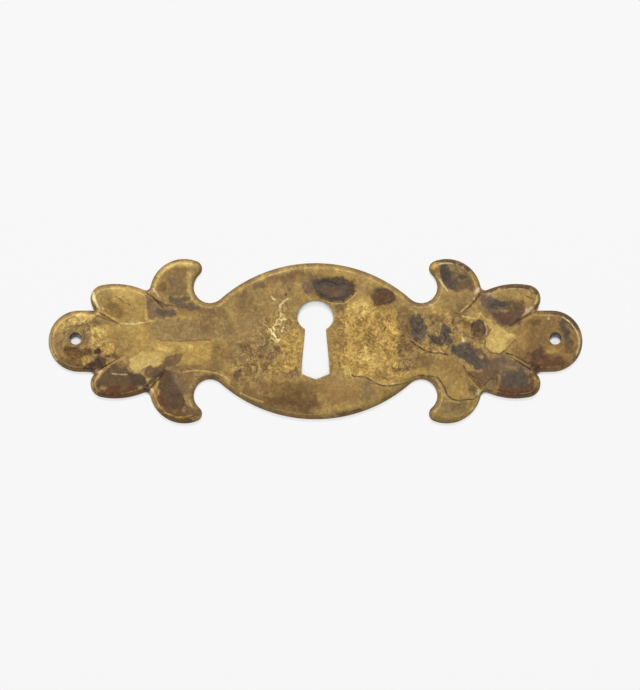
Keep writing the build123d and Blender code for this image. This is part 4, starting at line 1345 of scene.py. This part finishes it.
def laid_over(tree, under, over, amount):
    """A colour laid over another one."""
    values = {0: amount, **dict(zip(MIX_COLOURS, (under, over)))}
    return add_node(tree, "ShaderNodeMix", values, data_type="RGBA").outputs[MIXED_COLOUR]


def blended(tree, first, second, amount):
    """A number part of the way from one to another."""
    values = {0: amount, **dict(zip(MIX_NUMBERS, (first, second)))}
    return add_node(tree, "ShaderNodeMix", values).outputs[MIXED_NUMBER]


def noise(tree, place, scale, detail=2.0, roughness=0.5, seed=0.0, curl=0.0):
    """A cloudy noise, with its clouds curled where asked."""
    values = {"Vector": place, "W": seed, "Scale": scale, "Detail": detail, "Roughness": roughness}
    values["Distortion"] = curl
    return add_node(tree, "ShaderNodeTexNoise", values, noise_dimensions="4D").outputs[0]


def cells(tree, place, scale, seed):
    """The distance to the nearest of many scattered points."""
    values = {"Vector": place, "W": seed, "Scale": scale}
    return add_node(tree, "ShaderNodeTexVoronoi", values, voronoi_dimensions="4D").outputs["Distance"]


def solid(colour):
    """A colour with its opacity."""
    return (*colour, 1.0)


# The press

def eased(tree, value, ease):
    """A length that stops at zero, rounded over by an easing length."""
    square = math(tree, "MULTIPLY", value, value)
    squares = math(tree, "ADD", square, math(tree, "MULTIPLY", ease, ease))
    return math(tree, "MULTIPLY", math(tree, "ADD", value, math(tree, "SQRT", squares)), 0.5)


def attribute(tree, name, kind="FLOAT"):
    """An attribute of the blank."""
    made = add_node(tree, "GeometryNodeInputNamedAttribute", {"Name": name}, data_type=kind)
    return made.outputs["Attribute"]


def press_tree():
    """Geometry Nodes that press a flat front down over its bevel and creases, and age it."""
    sizes = (
        "Bevel", "Arris", "Crease share", "Hole lip",
        "Bow depth", "Bow span", "Pit depth", "Pit span",
    )
    tree, given, result = new_tree(
        "press",
        "GeometryNodeTree",
        (
            ("Blank", "Geometry"),
            *((name, "Float") for name in sizes),
            ("Seed", "Int"),
            ("Face finish", "Material"),
            ("Back finish", "Material"),
        ),
        (("Plate", "Geometry"),),
    )
    front = attribute(tree, "front", "BOOLEAN")
    place = add_node(tree, "GeometryNodeInputPosition").outputs[0]
    bevel = math(tree, "SUBTRACT", given["Bevel"], attribute(tree, "edge_gap"))
    crease = math(tree, "MULTIPLY", attribute(tree, "crease_drop"), given["Crease share"])
    pressed = math(tree, "MAXIMUM", eased(tree, bevel, given["Arris"]), crease)
    lip = math(tree, "SUBTRACT", given["Hole lip"], attribute(tree, "hole_gap"))
    lip_ease = math(tree, "MULTIPLY", given["Hole lip"], 0.7)
    pressed = math(tree, "ADD", pressed, eased(tree, lip, lip_ease))

    # Wide dents all over, and pits in patches
    bow_scale = math(tree, "DIVIDE", 1.0, given["Bow span"])
    bow = ramp(tree, noise(tree, place, bow_scale, seed=given["Seed"]), low=0.3, high=0.7)
    pressed = math(tree, "ADD", pressed, math(tree, "MULTIPLY", bow, given["Bow depth"]))
    pit_scale = math(tree, "DIVIDE", 1.0, given["Pit span"])
    patch_scale = math(tree, "MULTIPLY", pit_scale, 0.3)
    pits = cells(tree, place, pit_scale, given["Seed"])
    pits = ramp(tree, pits, low=0.1, high=0.5, start=1.0, end=0.0)
    patches = ramp(tree, noise(tree, place, patch_scale, seed=given["Seed"]), low=0.45, high=0.65)
    pits = math(tree, "MULTIPLY", pits, patches)
    pressed = math(tree, "ADD", pressed, math(tree, "MULTIPLY", pits, given["Pit depth"]))

    height = math(tree, "MULTIPLY", pressed, -1.0)
    moved = {"Geometry": given["Blank"], "Selection": front}
    moved["Offset"] = add_node(tree, "ShaderNodeCombineXYZ", {"Z": height}).outputs[0]
    plate = add_node(tree, "GeometryNodeSetPosition", moved).outputs[0]
    plate = add_node(tree, "GeometryNodeRealizeInstances", {"Geometry": plate}).outputs[0]
    for finish, faces in (("Back finish", True), ("Face finish", front)):
        values = {"Geometry": plate, "Selection": faces, "Material": given[finish]}
        plate = add_node(tree, "GeometryNodeSetMaterial", values).outputs[0]
    join(result[0], plate)
    return tree


def pressed_piece(blank, values):
    """The blank after the press, as a plain mesh of its own."""
    piece = bpy.data.objects.new("pressed_plate", blank)
    bpy.context.scene.collection.objects.link(piece)
    tree = press_tree()
    modifier = piece.modifiers.new("press", "NODES")
    modifier.node_group = tree
    for socket in tree.interface.items_tree:
        if socket.in_out == "INPUT" and socket.name in values:
            modifier[socket.identifier] = values[socket.name]
    graph = bpy.context.evaluated_depsgraph_get()
    pressed = bpy.data.meshes.new_from_object(
        piece.evaluated_get(graph), preserve_all_data_layers=True, depsgraph=graph
    )
    piece.modifiers.clear()
    piece.data = pressed
    pressed.shade_smooth()
    sharpest = radians(38)
    pressed.set_sharp_from_angle(angle=sharpest)
    return piece


# Finishes

def field_sides(corners):
    """The sides of a convex field, from its corners.

    A place that carries a 1 as its third number, times a side, is how far it is outside that side."""
    corners = [Vector(corners[i]) for i in convex_hull_2d(corners)]
    centre = sum(corners, Vector((0, 0))) / len(corners)
    sides = []
    for start, end in zip(corners, corners[1:] + corners[:1]):
        outwards = (end - start).orthogonal().normalized()
        if outwards.dot(start - centre) < 0:
            outwards.negate()
        sides.append((*outwards, -outwards.dot(start)))
    return sides


def patch_group(sides):
    """A shader group that lays a patch with so many sides over a colour."""
    tree, given, result = new_tree(
        f"patch_of_{sides}",
        "ShaderNodeTree",
        (
            ("Colour", "Color"),
            ("Finish", "Color"),
            ("Place", "Vector"),
            ("Fray", "Float"),
            ("Blur", "Float"),
            ("Strength", "Float"),
            *((f"Side {number}", "Vector") for number in range(sides)),
        ),
        (("Colour", "Color"),),
    )
    outwards = vector(tree, "DOT_PRODUCT", given["Place"], given["Side 0"])
    for number in range(1, sides):
        side = vector(tree, "DOT_PRODUCT", given["Place"], given[f"Side {number}"])
        outwards = math(tree, "MAXIMUM", outwards, side)
    reach = math(tree, "MULTIPLY_ADD", given["Blur"], FRAY_OF_BLUR, LEAST_FRAY)
    outwards = math(tree, "MULTIPLY_ADD", given["Fray"], reach, outwards)
    inwards = math(tree, "MULTIPLY", given["Blur"], -1.0)
    amount = ramp(tree, outwards, given["Blur"], inwards, 0.0, given["Strength"])
    join(result[0], laid_over(tree, given["Colour"], given["Finish"], amount))
    return tree


class PatchLayer:
    """Lays patches over a colour, with one shader group for each number of sides."""

    def __init__(self, tree, place, fray):
        self.tree = tree
        self.shared = {"Place": place, "Fray": fray}
        self.groups = {}

    def lay(self, colour, finish, strength, blur, corners):
        """A colour with one more patch over it."""
        sides = field_sides(corners)
        if len(sides) not in self.groups:
            self.groups[len(sides)] = patch_group(len(sides))
        values = {"Colour": colour, "Finish": finish, "Blur": blur, "Strength": strength, **self.shared}
        values.update({f"Side {number}": side for number, side in enumerate(sides)})
        return place_group(self.tree, self.groups[len(sides)], values)[0]


def run_group():
    """A shader group that measures how far a place is from a straight run of a line."""
    tree, given, result = new_tree(
        "run",
        "ShaderNodeTree",
        (("Place", "Vector"), ("Start", "Vector"), ("End", "Vector"), ("Nearest", "Float")),
        (("Nearest", "Float"),),
    )
    run = vector(tree, "SUBTRACT", given["End"], given["Start"])
    away = vector(tree, "SUBTRACT", given["Place"], given["Start"])
    along = vector(tree, "DOT_PRODUCT", away, run)
    along = math(tree, "DIVIDE", along, vector(tree, "DOT_PRODUCT", run, run))
    along = math(tree, "MINIMUM", math(tree, "MAXIMUM", along, 0.0), 1.0)
    aside = vector(tree, "LENGTH", vector(tree, "SUBTRACT", away, scaled(tree, run, along)))
    join(result[0], math(tree, "MINIMUM", aside, given["Nearest"]))
    return tree


def between(tree, value, low, middle, high):
    """A soft band that is full where a value is at the middle."""
    return math(tree, "MULTIPLY", ramp(tree, value, low, middle), ramp(tree, value, high, middle))


def mottle_group():
    """A shader group that breaks a colour up into clouds, curls, fine folds with painted shade and
    highlight, grain and specks.
    """
    tree, given, result = new_tree(
        "mottle",
        "ShaderNodeTree",
        (
            ("Colour", "Color"),
            ("Place", "Vector"),
            ("Amount", "Float"),
            ("Crinkle", "Float"),
            ("Seed", "Float"),
        ),
        (("Colour", "Color"), ("Grain", "Float")),
    )
    place, seed = given["Place"], given["Seed"]
    amount, crinkle = given["Amount"], given["Crinkle"]
    colour = given["Colour"]
    clouds = noise(tree, place, scale=0.28, detail=3.0, roughness=0.55, seed=seed, curl=0.8)
    curls = noise(tree, place, scale=0.6, seed=seed, curl=2.2)
    folds = noise(tree, place, scale=0.65, seed=seed, curl=1.4)
    grain = noise(tree, place, scale=3.4, detail=3.0, roughness=0.62, seed=seed, curl=0.8)
    for mask, tint, strength in (
        (ramp(tree, clouds, low=0.5, high=0.66), (0.84, 0.82, 0.83), amount),
        (ramp(tree, clouds, low=0.47, high=0.32), (1.2, 1.2, 1.16), amount),
        (ramp(tree, curls, low=0.53, high=0.6), (0.86, 0.84, 0.85), amount),
        (ramp(tree, curls, low=0.46, high=0.38), (1.2, 1.2, 1.14), amount),
        (between(tree, curls, low=0.51, middle=0.53, high=0.55), (0.78, 0.74, 0.75), amount),
        # Painted shade and highlight: each fine fold gets a dark side and a bright side, as relief
        # would under the light
        (between(tree, folds, low=0.39, middle=0.45, high=0.5), (0.52, 0.47, 0.46), crinkle),
        (between(tree, folds, low=0.5, middle=0.55, high=0.61), (1.5, 1.5, 1.36), crinkle),
        (ramp(tree, grain, low=0.5, high=0.7), (0.76, 0.75, 0.77), amount),
        (ramp(tree, grain, low=0.5, high=0.3), (1.3, 1.3, 1.27), amount),
    ):
        tinted = vector(tree, "MULTIPLY", colour, tint)
        colour = laid_over(tree, colour, tinted, math(tree, "MULTIPLY", mask, strength))
    specks = ramp(tree, cells(tree, place, scale=1.6, seed=seed), low=0.2, high=0.1)
    speckled = ramp(tree, clouds, low=0.48, high=0.58, start=0.0, end=0.35)
    specks = math(tree, "MULTIPLY", specks, speckled)
    colour = scaled(tree, colour, math(tree, "SUBTRACT", 1.0, specks))
    join(result["Colour"], colour)
    relief = math(tree, "MULTIPLY", math(tree, "ADD", folds, grain), 0.5)
    join(result["Grain"], math(tree, "SUBTRACT", relief, specks))
    return tree


def swayed(tree, place, scale, reach, seed):
    """A place moved about by up to a reach, as two noises of the same scale say."""
    other_seed = seed + 50.0
    across = noise(tree, place, scale, detail=3.0, roughness=0.6, seed=seed)
    along = noise(tree, place, scale, detail=3.0, roughness=0.6, seed=other_seed)
    across = math(tree, "MULTIPLY_ADD", across, 2 * reach, -reach)
    along = math(tree, "MULTIPLY_ADD", along, 2 * reach, -reach)
    sway = add_node(tree, "ShaderNodeCombineXYZ", {"X": across, "Y": along}).outputs[0]
    return vector(tree, "ADD", place, sway)


def finish_shader(tree, colour, grain):
    """The shader of a brass finish: films are duller and less metallic than bare brass."""
    middle, unevenness = 0.5, 0.15  # of the grain, and of the roughness that it gives
    bare = add_node(tree, "ShaderNodeRGBToBW", (colour,)).outputs[0]
    metal = ramp(tree, bare, low=0.06, high=0.22, start=0.8, end=1.0)
    rough = ramp(tree, bare, low=0.08, high=0.4, start=0.55, end=0.36)
    uneven = math(tree, "MULTIPLY", math(tree, "SUBTRACT", middle, grain), unevenness)
    rough = math(tree, "ADD", rough, uneven)
    relief = {"Strength": 1.0, "Distance": GRAIN_DEPTH, "Height": grain}
    relief = add_node(tree, "ShaderNodeBump", relief).outputs[0]
    values = {"Base Color": colour, "Metallic": metal, "Roughness": rough, "Normal": relief}
    values["Specular IOR Level"] = 0.3
    shader = add_node(tree, "ShaderNodeBsdfPrincipled", values).outputs[0]
    add_node(tree, "ShaderNodeOutputMaterial", {"Surface": shader})


def new_finish(name):
    """An empty material with nodes."""
    material = bpy.data.materials.new(name)
    material.use_nodes = True
    material.node_tree.nodes.clear()
    return material


def lines_over(tree, colour, finish, place, wavy, fray):
    """A colour with the thin lines of the face over it, broken up here and there."""
    run_tree = run_group()
    broken = noise(tree, place, scale=1.2, seed=29.0)
    broken = ramp(tree, broken, low=0.36, high=0.5, start=0.45, end=1.0)
    for line in LINES:
        nearest_run = FAR
        for start, end in zip(line.points, line.points[1:]):
            values = {"Place": wavy, "Start": (*start, 1.0), "End": (*end, 1.0)}
            values["Nearest"] = nearest_run
            nearest_run = place_group(tree, run_tree, values)[0]
        nearest_run = math(tree, "MULTIPLY_ADD", fray, LINE_FRAY * line.width, nearest_run)
        low, high = LINE_START * line.width, LINE_FULL * line.width
        amount = ramp(tree, nearest_run, low, high, end=line.strength)
        amount = math(tree, "MULTIPLY", amount, broken)
        colour = laid_over(tree, colour, solid(getattr(finish, line.finish)), amount)
    return colour


def edges_over(tree, colour, finish, place):
    """A colour with dirt and painted shade over the bevel, darkest at the outer edge, and bare metal
    along its arris.
    """
    edge = add_node(tree, "ShaderNodeAttribute", attribute_name="edge_gap").outputs["Fac"]
    edge = math(tree, "MULTIPLY", edge, 1 / MM)
    patchy = noise(tree, place, scale=0.6, detail=4.0, roughness=0.65, seed=21.0)
    # Dirt and painted shade: the bevel darkens towards the plate's outer edge
    dirt_and_shade = ramp(tree, edge, low=0.6, high=0.1)
    dirt_and_shade = math(tree, "MULTIPLY", dirt_and_shade, ramp(tree, patchy, low=0.4, high=0.6, start=0.3, end=0.75))
    colour = laid_over(tree, colour, solid(finish.umber), dirt_and_shade)
    arris = ramp(tree, edge, low=0.62, high=0.76)
    arris = math(tree, "MULTIPLY", arris, ramp(tree, edge, low=0.95, high=0.8))
    worn = ramp(tree, patchy, low=0.45, high=0.58, start=0.2, end=0.0)
    return laid_over(tree, colour, solid(finish.straw), math(tree, "MULTIPLY", arris, worn))


def stained_brass(finish, mottle):
    """The front's finish: aged brass with its patches and lines, among them painted light and shade, a
    worn arris and a bevel with dirt and painted shade.
    """
    material = new_finish("stained_brass")
    tree = material.node_tree
    coordinates = add_node(tree, "ShaderNodeTexCoord").outputs["Object"]
    place = vector(tree, "MULTIPLY", coordinates, (1 / MM, 1 / MM, 0.0))
    place = vector(tree, "ADD", place, (0.0, 0.0, 1.0))
    ragged = swayed(tree, place, scale=0.5, reach=0.6, seed=3.0)
    ragged = swayed(tree, ragged, scale=1.5, reach=0.22, seed=5.0)
    waviness = 0.15
    wavy = scaled(tree, place, 1.0 - waviness)
    wavy = vector(tree, "ADD", wavy, scaled(tree, ragged, waviness))
    clouds = noise(tree, place, scale=0.3, detail=5.0, roughness=0.68, seed=11.0, curl=0.6)
    clouds = ramp(tree, clouds, low=0.4, high=0.6)
    colour = laid_over(tree, solid(finish.olive), solid(finish.gold), clouds)
    colour = laid_over(tree, colour, solid(finish.ground), 0.5)
    fray = math(tree, "SUBTRACT", noise(tree, place, scale=1.1, seed=17.0), 0.5)

    patches = PatchLayer(tree, ragged, fray)
    black, white = solid((0.0, 0.0, 0.0)), solid((1.0, 1.0, 1.0))
    crinkle = black
    for corners in CRINKLED.values():
        crinkle = patches.lay(crinkle, white, strength=1.0, blur=1.2, corners=corners)
    for patch in LEFT_PATCHES + OVAL_PATCHES + RIGHT_PATCHES:
        shade = solid(getattr(finish, patch.finish))
        colour = patches.lay(colour, shade, patch.strength, patch.blur, patch.corners)
    colour = lines_over(tree, colour, finish, place, wavy, fray)

    # The mottle, with the painted shade and highlight of its fine folds, is strongest where the film
    # has crinkled
    values = {"Colour": colour, "Place": place, "Seed": 2.0}
    for name, least, more in (("Amount", 0.75, 0.4), ("Crinkle", 0.15, 0.55)):
        values[name] = math(tree, "MULTIPLY_ADD", crinkle, more, least)
    mottled = place_group(tree, mottle, values)
    colour = edges_over(tree, mottled["Colour"], finish, place)
    finish_shader(tree, colour, mottled["Grain"])
    return material


def dull_brass(finish, mottle):
    """The finish behind the sheet and on its cut edges."""
    material = new_finish("dull_brass")
    tree = material.node_tree
    coordinates = add_node(tree, "ShaderNodeTexCoord").outputs["Object"]
    place = scaled(tree, coordinates, 1 / MM)
    clouds = noise(tree, place, scale=0.18, detail=4.0, roughness=0.6, seed=4.0)
    clouds = ramp(tree, clouds, low=0.4, high=0.65)
    colour = laid_over(tree, solid(finish.back), solid(finish.umber), clouds)
    spots = noise(tree, place, scale=0.4, seed=14.0)
    spots = ramp(tree, spots, low=0.6, high=0.68, start=0.0, end=0.6)
    colour = laid_over(tree, colour, solid(finish.slate), spots)
    values = {"Colour": colour, "Place": place, "Amount": 0.8, "Crinkle": 0.2, "Seed": 6.0}
    mottled = place_group(tree, mottle, values)
    finish_shader(tree, mottled["Colour"], mottled["Grain"])
    return material


# Stage

def pale_floor(stage):
    """The floor under the plate."""
    half = 2.0  # half of the floor's side in metres
    corners = [(-half, -half, -HAIR), (half, -half, -HAIR), (half, half, -HAIR), (-half, half, -HAIR)]
    mesh = bpy.data.meshes.new("floor")
    mesh.from_pydata(corners, [], [(0, 1, 2, 3)])
    material = new_finish("pale_floor")
    tree = material.node_tree
    matt = add_node(tree, "ShaderNodeBsdfDiffuse", {"Color": solid(stage.floor)}).outputs[0]
    even = add_node(tree, "ShaderNodeEmission", {"Color": solid(stage.floor)}).outputs[0]
    seen = add_node(tree, "ShaderNodeLightPath").outputs["Is Camera Ray"]
    openness = add_node(tree, "ShaderNodeAmbientOcclusion", {"Distance": 4 * MM}).outputs["AO"]
    evenness = math(tree, "MULTIPLY", ramp(tree, openness, low=0.4, high=0.55), stage.evenness)
    evenness = math(tree, "MULTIPLY", seen, evenness)
    shader = add_node(tree, "ShaderNodeMixShader", (evenness, matt, even)).outputs[0]
    add_node(tree, "ShaderNodeOutputMaterial", {"Surface": shader})
    mesh.materials.append(material)
    floor = bpy.data.objects.new("floor", mesh)
    bpy.context.scene.collection.objects.link(floor)


def soft_surroundings(stage):
    """Soft light from all round, brighter from the far side, which the brass reflects."""
    world = bpy.data.worlds.new("surroundings")
    bpy.context.scene.world = world
    world.use_nodes = True
    tree = world.node_tree
    tree.nodes.clear()
    direction = add_node(tree, "ShaderNodeTexCoord").outputs["Generated"]
    axes = add_node(tree, "ShaderNodeSeparateXYZ", (direction,)).outputs
    light = math(tree, "ADD", 1.0, math(tree, "MULTIPLY", axes["Y"], stage.slant))
    sideways = math(tree, "MULTIPLY", math(tree, "MULTIPLY", axes["X"], axes["X"]), stage.sides)
    sideways = math(tree, "SUBTRACT", sideways, math(tree, "MULTIPLY", axes["X"], stage.left))
    light = math(tree, "ADD", light, sideways)
    seen = add_node(tree, "ShaderNodeLightPath").outputs
    falling = math(tree, "MULTIPLY", light, stage.fill)
    mirrored = math(tree, "MULTIPLY", light, stage.shine)
    level = blended(tree, falling, mirrored, seen["Is Glossy Ray"])
    clear = math(tree, "MAXIMUM", seen["Is Camera Ray"], seen["Is Transmission Ray"])
    level = blended(tree, level, stage.floor[0], clear)
    shader = add_node(tree, "ShaderNodeBackground", {"Strength": level}).outputs[0]
    add_node(tree, "ShaderNodeOutputWorld", {"Surface": shader})


def soft_lamp(stage):
    """The lamp on the far side, which the brass doesn't mirror."""
    lamp = bpy.data.lights.new("key", "AREA")
    lamp.size = stage.key_width
    lamp.energy = stage.key_power
    lamp_object = bpy.data.objects.new("key", lamp)
    lamp_object.location = (0, stage.key_back, stage.key_height)
    lamp_object.rotation_euler = (-lamp_object.location).to_track_quat("-Z", "Y").to_euler()
    lamp_object.visible_glossy = False
    bpy.context.scene.collection.objects.link(lamp_object)


def photo_camera(stage):
    """The camera straight above the plate, with the photo's frame."""
    camera = bpy.data.cameras.new("camera")
    camera.sensor_width = 36.0
    tall_side = PHOTO_HEIGHT * PHOTO_SCALE
    camera.lens = camera.sensor_width * stage.camera_height / tall_side
    camera.clip_start = 0.01
    camera_object = bpy.data.objects.new("camera", camera)
    camera_object.location = (
        (PHOTO_WIDTH / 2 - PLATE_MIDDLE[0]) * PHOTO_SCALE,
        (PLATE_MIDDLE[1] - PHOTO_HEIGHT / 2) * PHOTO_SCALE,
        PLATE_HIGH.z + stage.camera_height,
    )
    bpy.context.scene.collection.objects.link(camera_object)
    bpy.context.scene.camera = camera_object


# Add-on

class OBJECT_OT_press_escutcheon(Operator):
    """Cut, press and stain the brass plate"""

    bl_idname = "object.press_escutcheon"
    bl_label = "Press plate"

    def execute(self, context):
        plate, finish = context.scene.escutcheon_plate, context.scene.escutcheon_finish
        blank, bevel = cut_blank(plate)
        mottle = mottle_group()
        values = {
            "Bevel": float(bevel),
            "Arris": plate.arris,
            "Crease share": plate.crease_share,
            "Hole lip": plate.hole_lip,
            "Bow depth": plate.bow_depth,
            "Bow span": plate.bow_span,
            "Pit depth": plate.pit_depth,
            "Pit span": plate.pit_span,
            "Seed": plate.seed,
            "Face finish": stained_brass(finish, mottle),
            "Back finish": dull_brass(finish, mottle),
        }
        piece = pressed_piece(blank, values)
        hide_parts(PLATE_NODE)
        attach(piece, "root")
        return {"FINISHED"}


class SCENE_OT_set_escutcheon_stage(Operator):
    """Set the floor, the light and the camera"""

    bl_idname = "scene.set_escutcheon_stage"
    bl_label = "Set stage"

    def execute(self, context):
        stage = context.scene.escutcheon_stage
        pale_floor(stage)
        soft_surroundings(stage)
        soft_lamp(stage)
        photo_camera(stage)
        context.scene.view_settings.view_transform = "Standard"
        return {"FINISHED"}


class VIEW3D_PT_escutcheon(Panel):
    """Lists the plate's sizes and colours, the stage and their buttons"""

    bl_label = "Escutcheon"
    bl_idname = "VIEW3D_PT_escutcheon"
    bl_space_type = "VIEW_3D"
    bl_region_type = "UI"
    bl_category = "Escutcheon"

    def draw(self, context):
        for group, operator in (
            ("escutcheon_plate", OBJECT_OT_press_escutcheon),
            ("escutcheon_finish", None),
            ("escutcheon_stage", SCENE_OT_set_escutcheon_stage),
        ):
            column = self.layout.box().column()
            settings = getattr(context.scene, group)
            for name in settings.__annotations__:
                column.prop(settings, name)
            if operator:
                column.operator(operator.bl_idname)


GROUPS = {
    "escutcheon_plate": EscutcheonPlate,
    "escutcheon_finish": EscutcheonFinish,
    "escutcheon_stage": EscutcheonStage,
}
CLASSES = (
    *GROUPS.values(),
    OBJECT_OT_press_escutcheon,
    SCENE_OT_set_escutcheon_stage,
    VIEW3D_PT_escutcheon,
)


def register():
    """Makes the add-on's classes and settings known."""
    for made in CLASSES:
        bpy.utils.register_class(made)
    for name, group in GROUPS.items():
        setattr(bpy.types.Scene, name, PointerProperty(type=group))


def unregister():
    """Takes the add-on's settings and classes away again."""
    for name in GROUPS:
        delattr(bpy.types.Scene, name)
    for made in reversed(CLASSES):
        bpy.utils.unregister_class(made)


def main():
    """Makes the plate and its stage."""
    register()
    bpy.ops.object.press_escutcheon()
    bpy.ops.scene.set_escutcheon_stage()


if __name__ == "__main__":
    main()
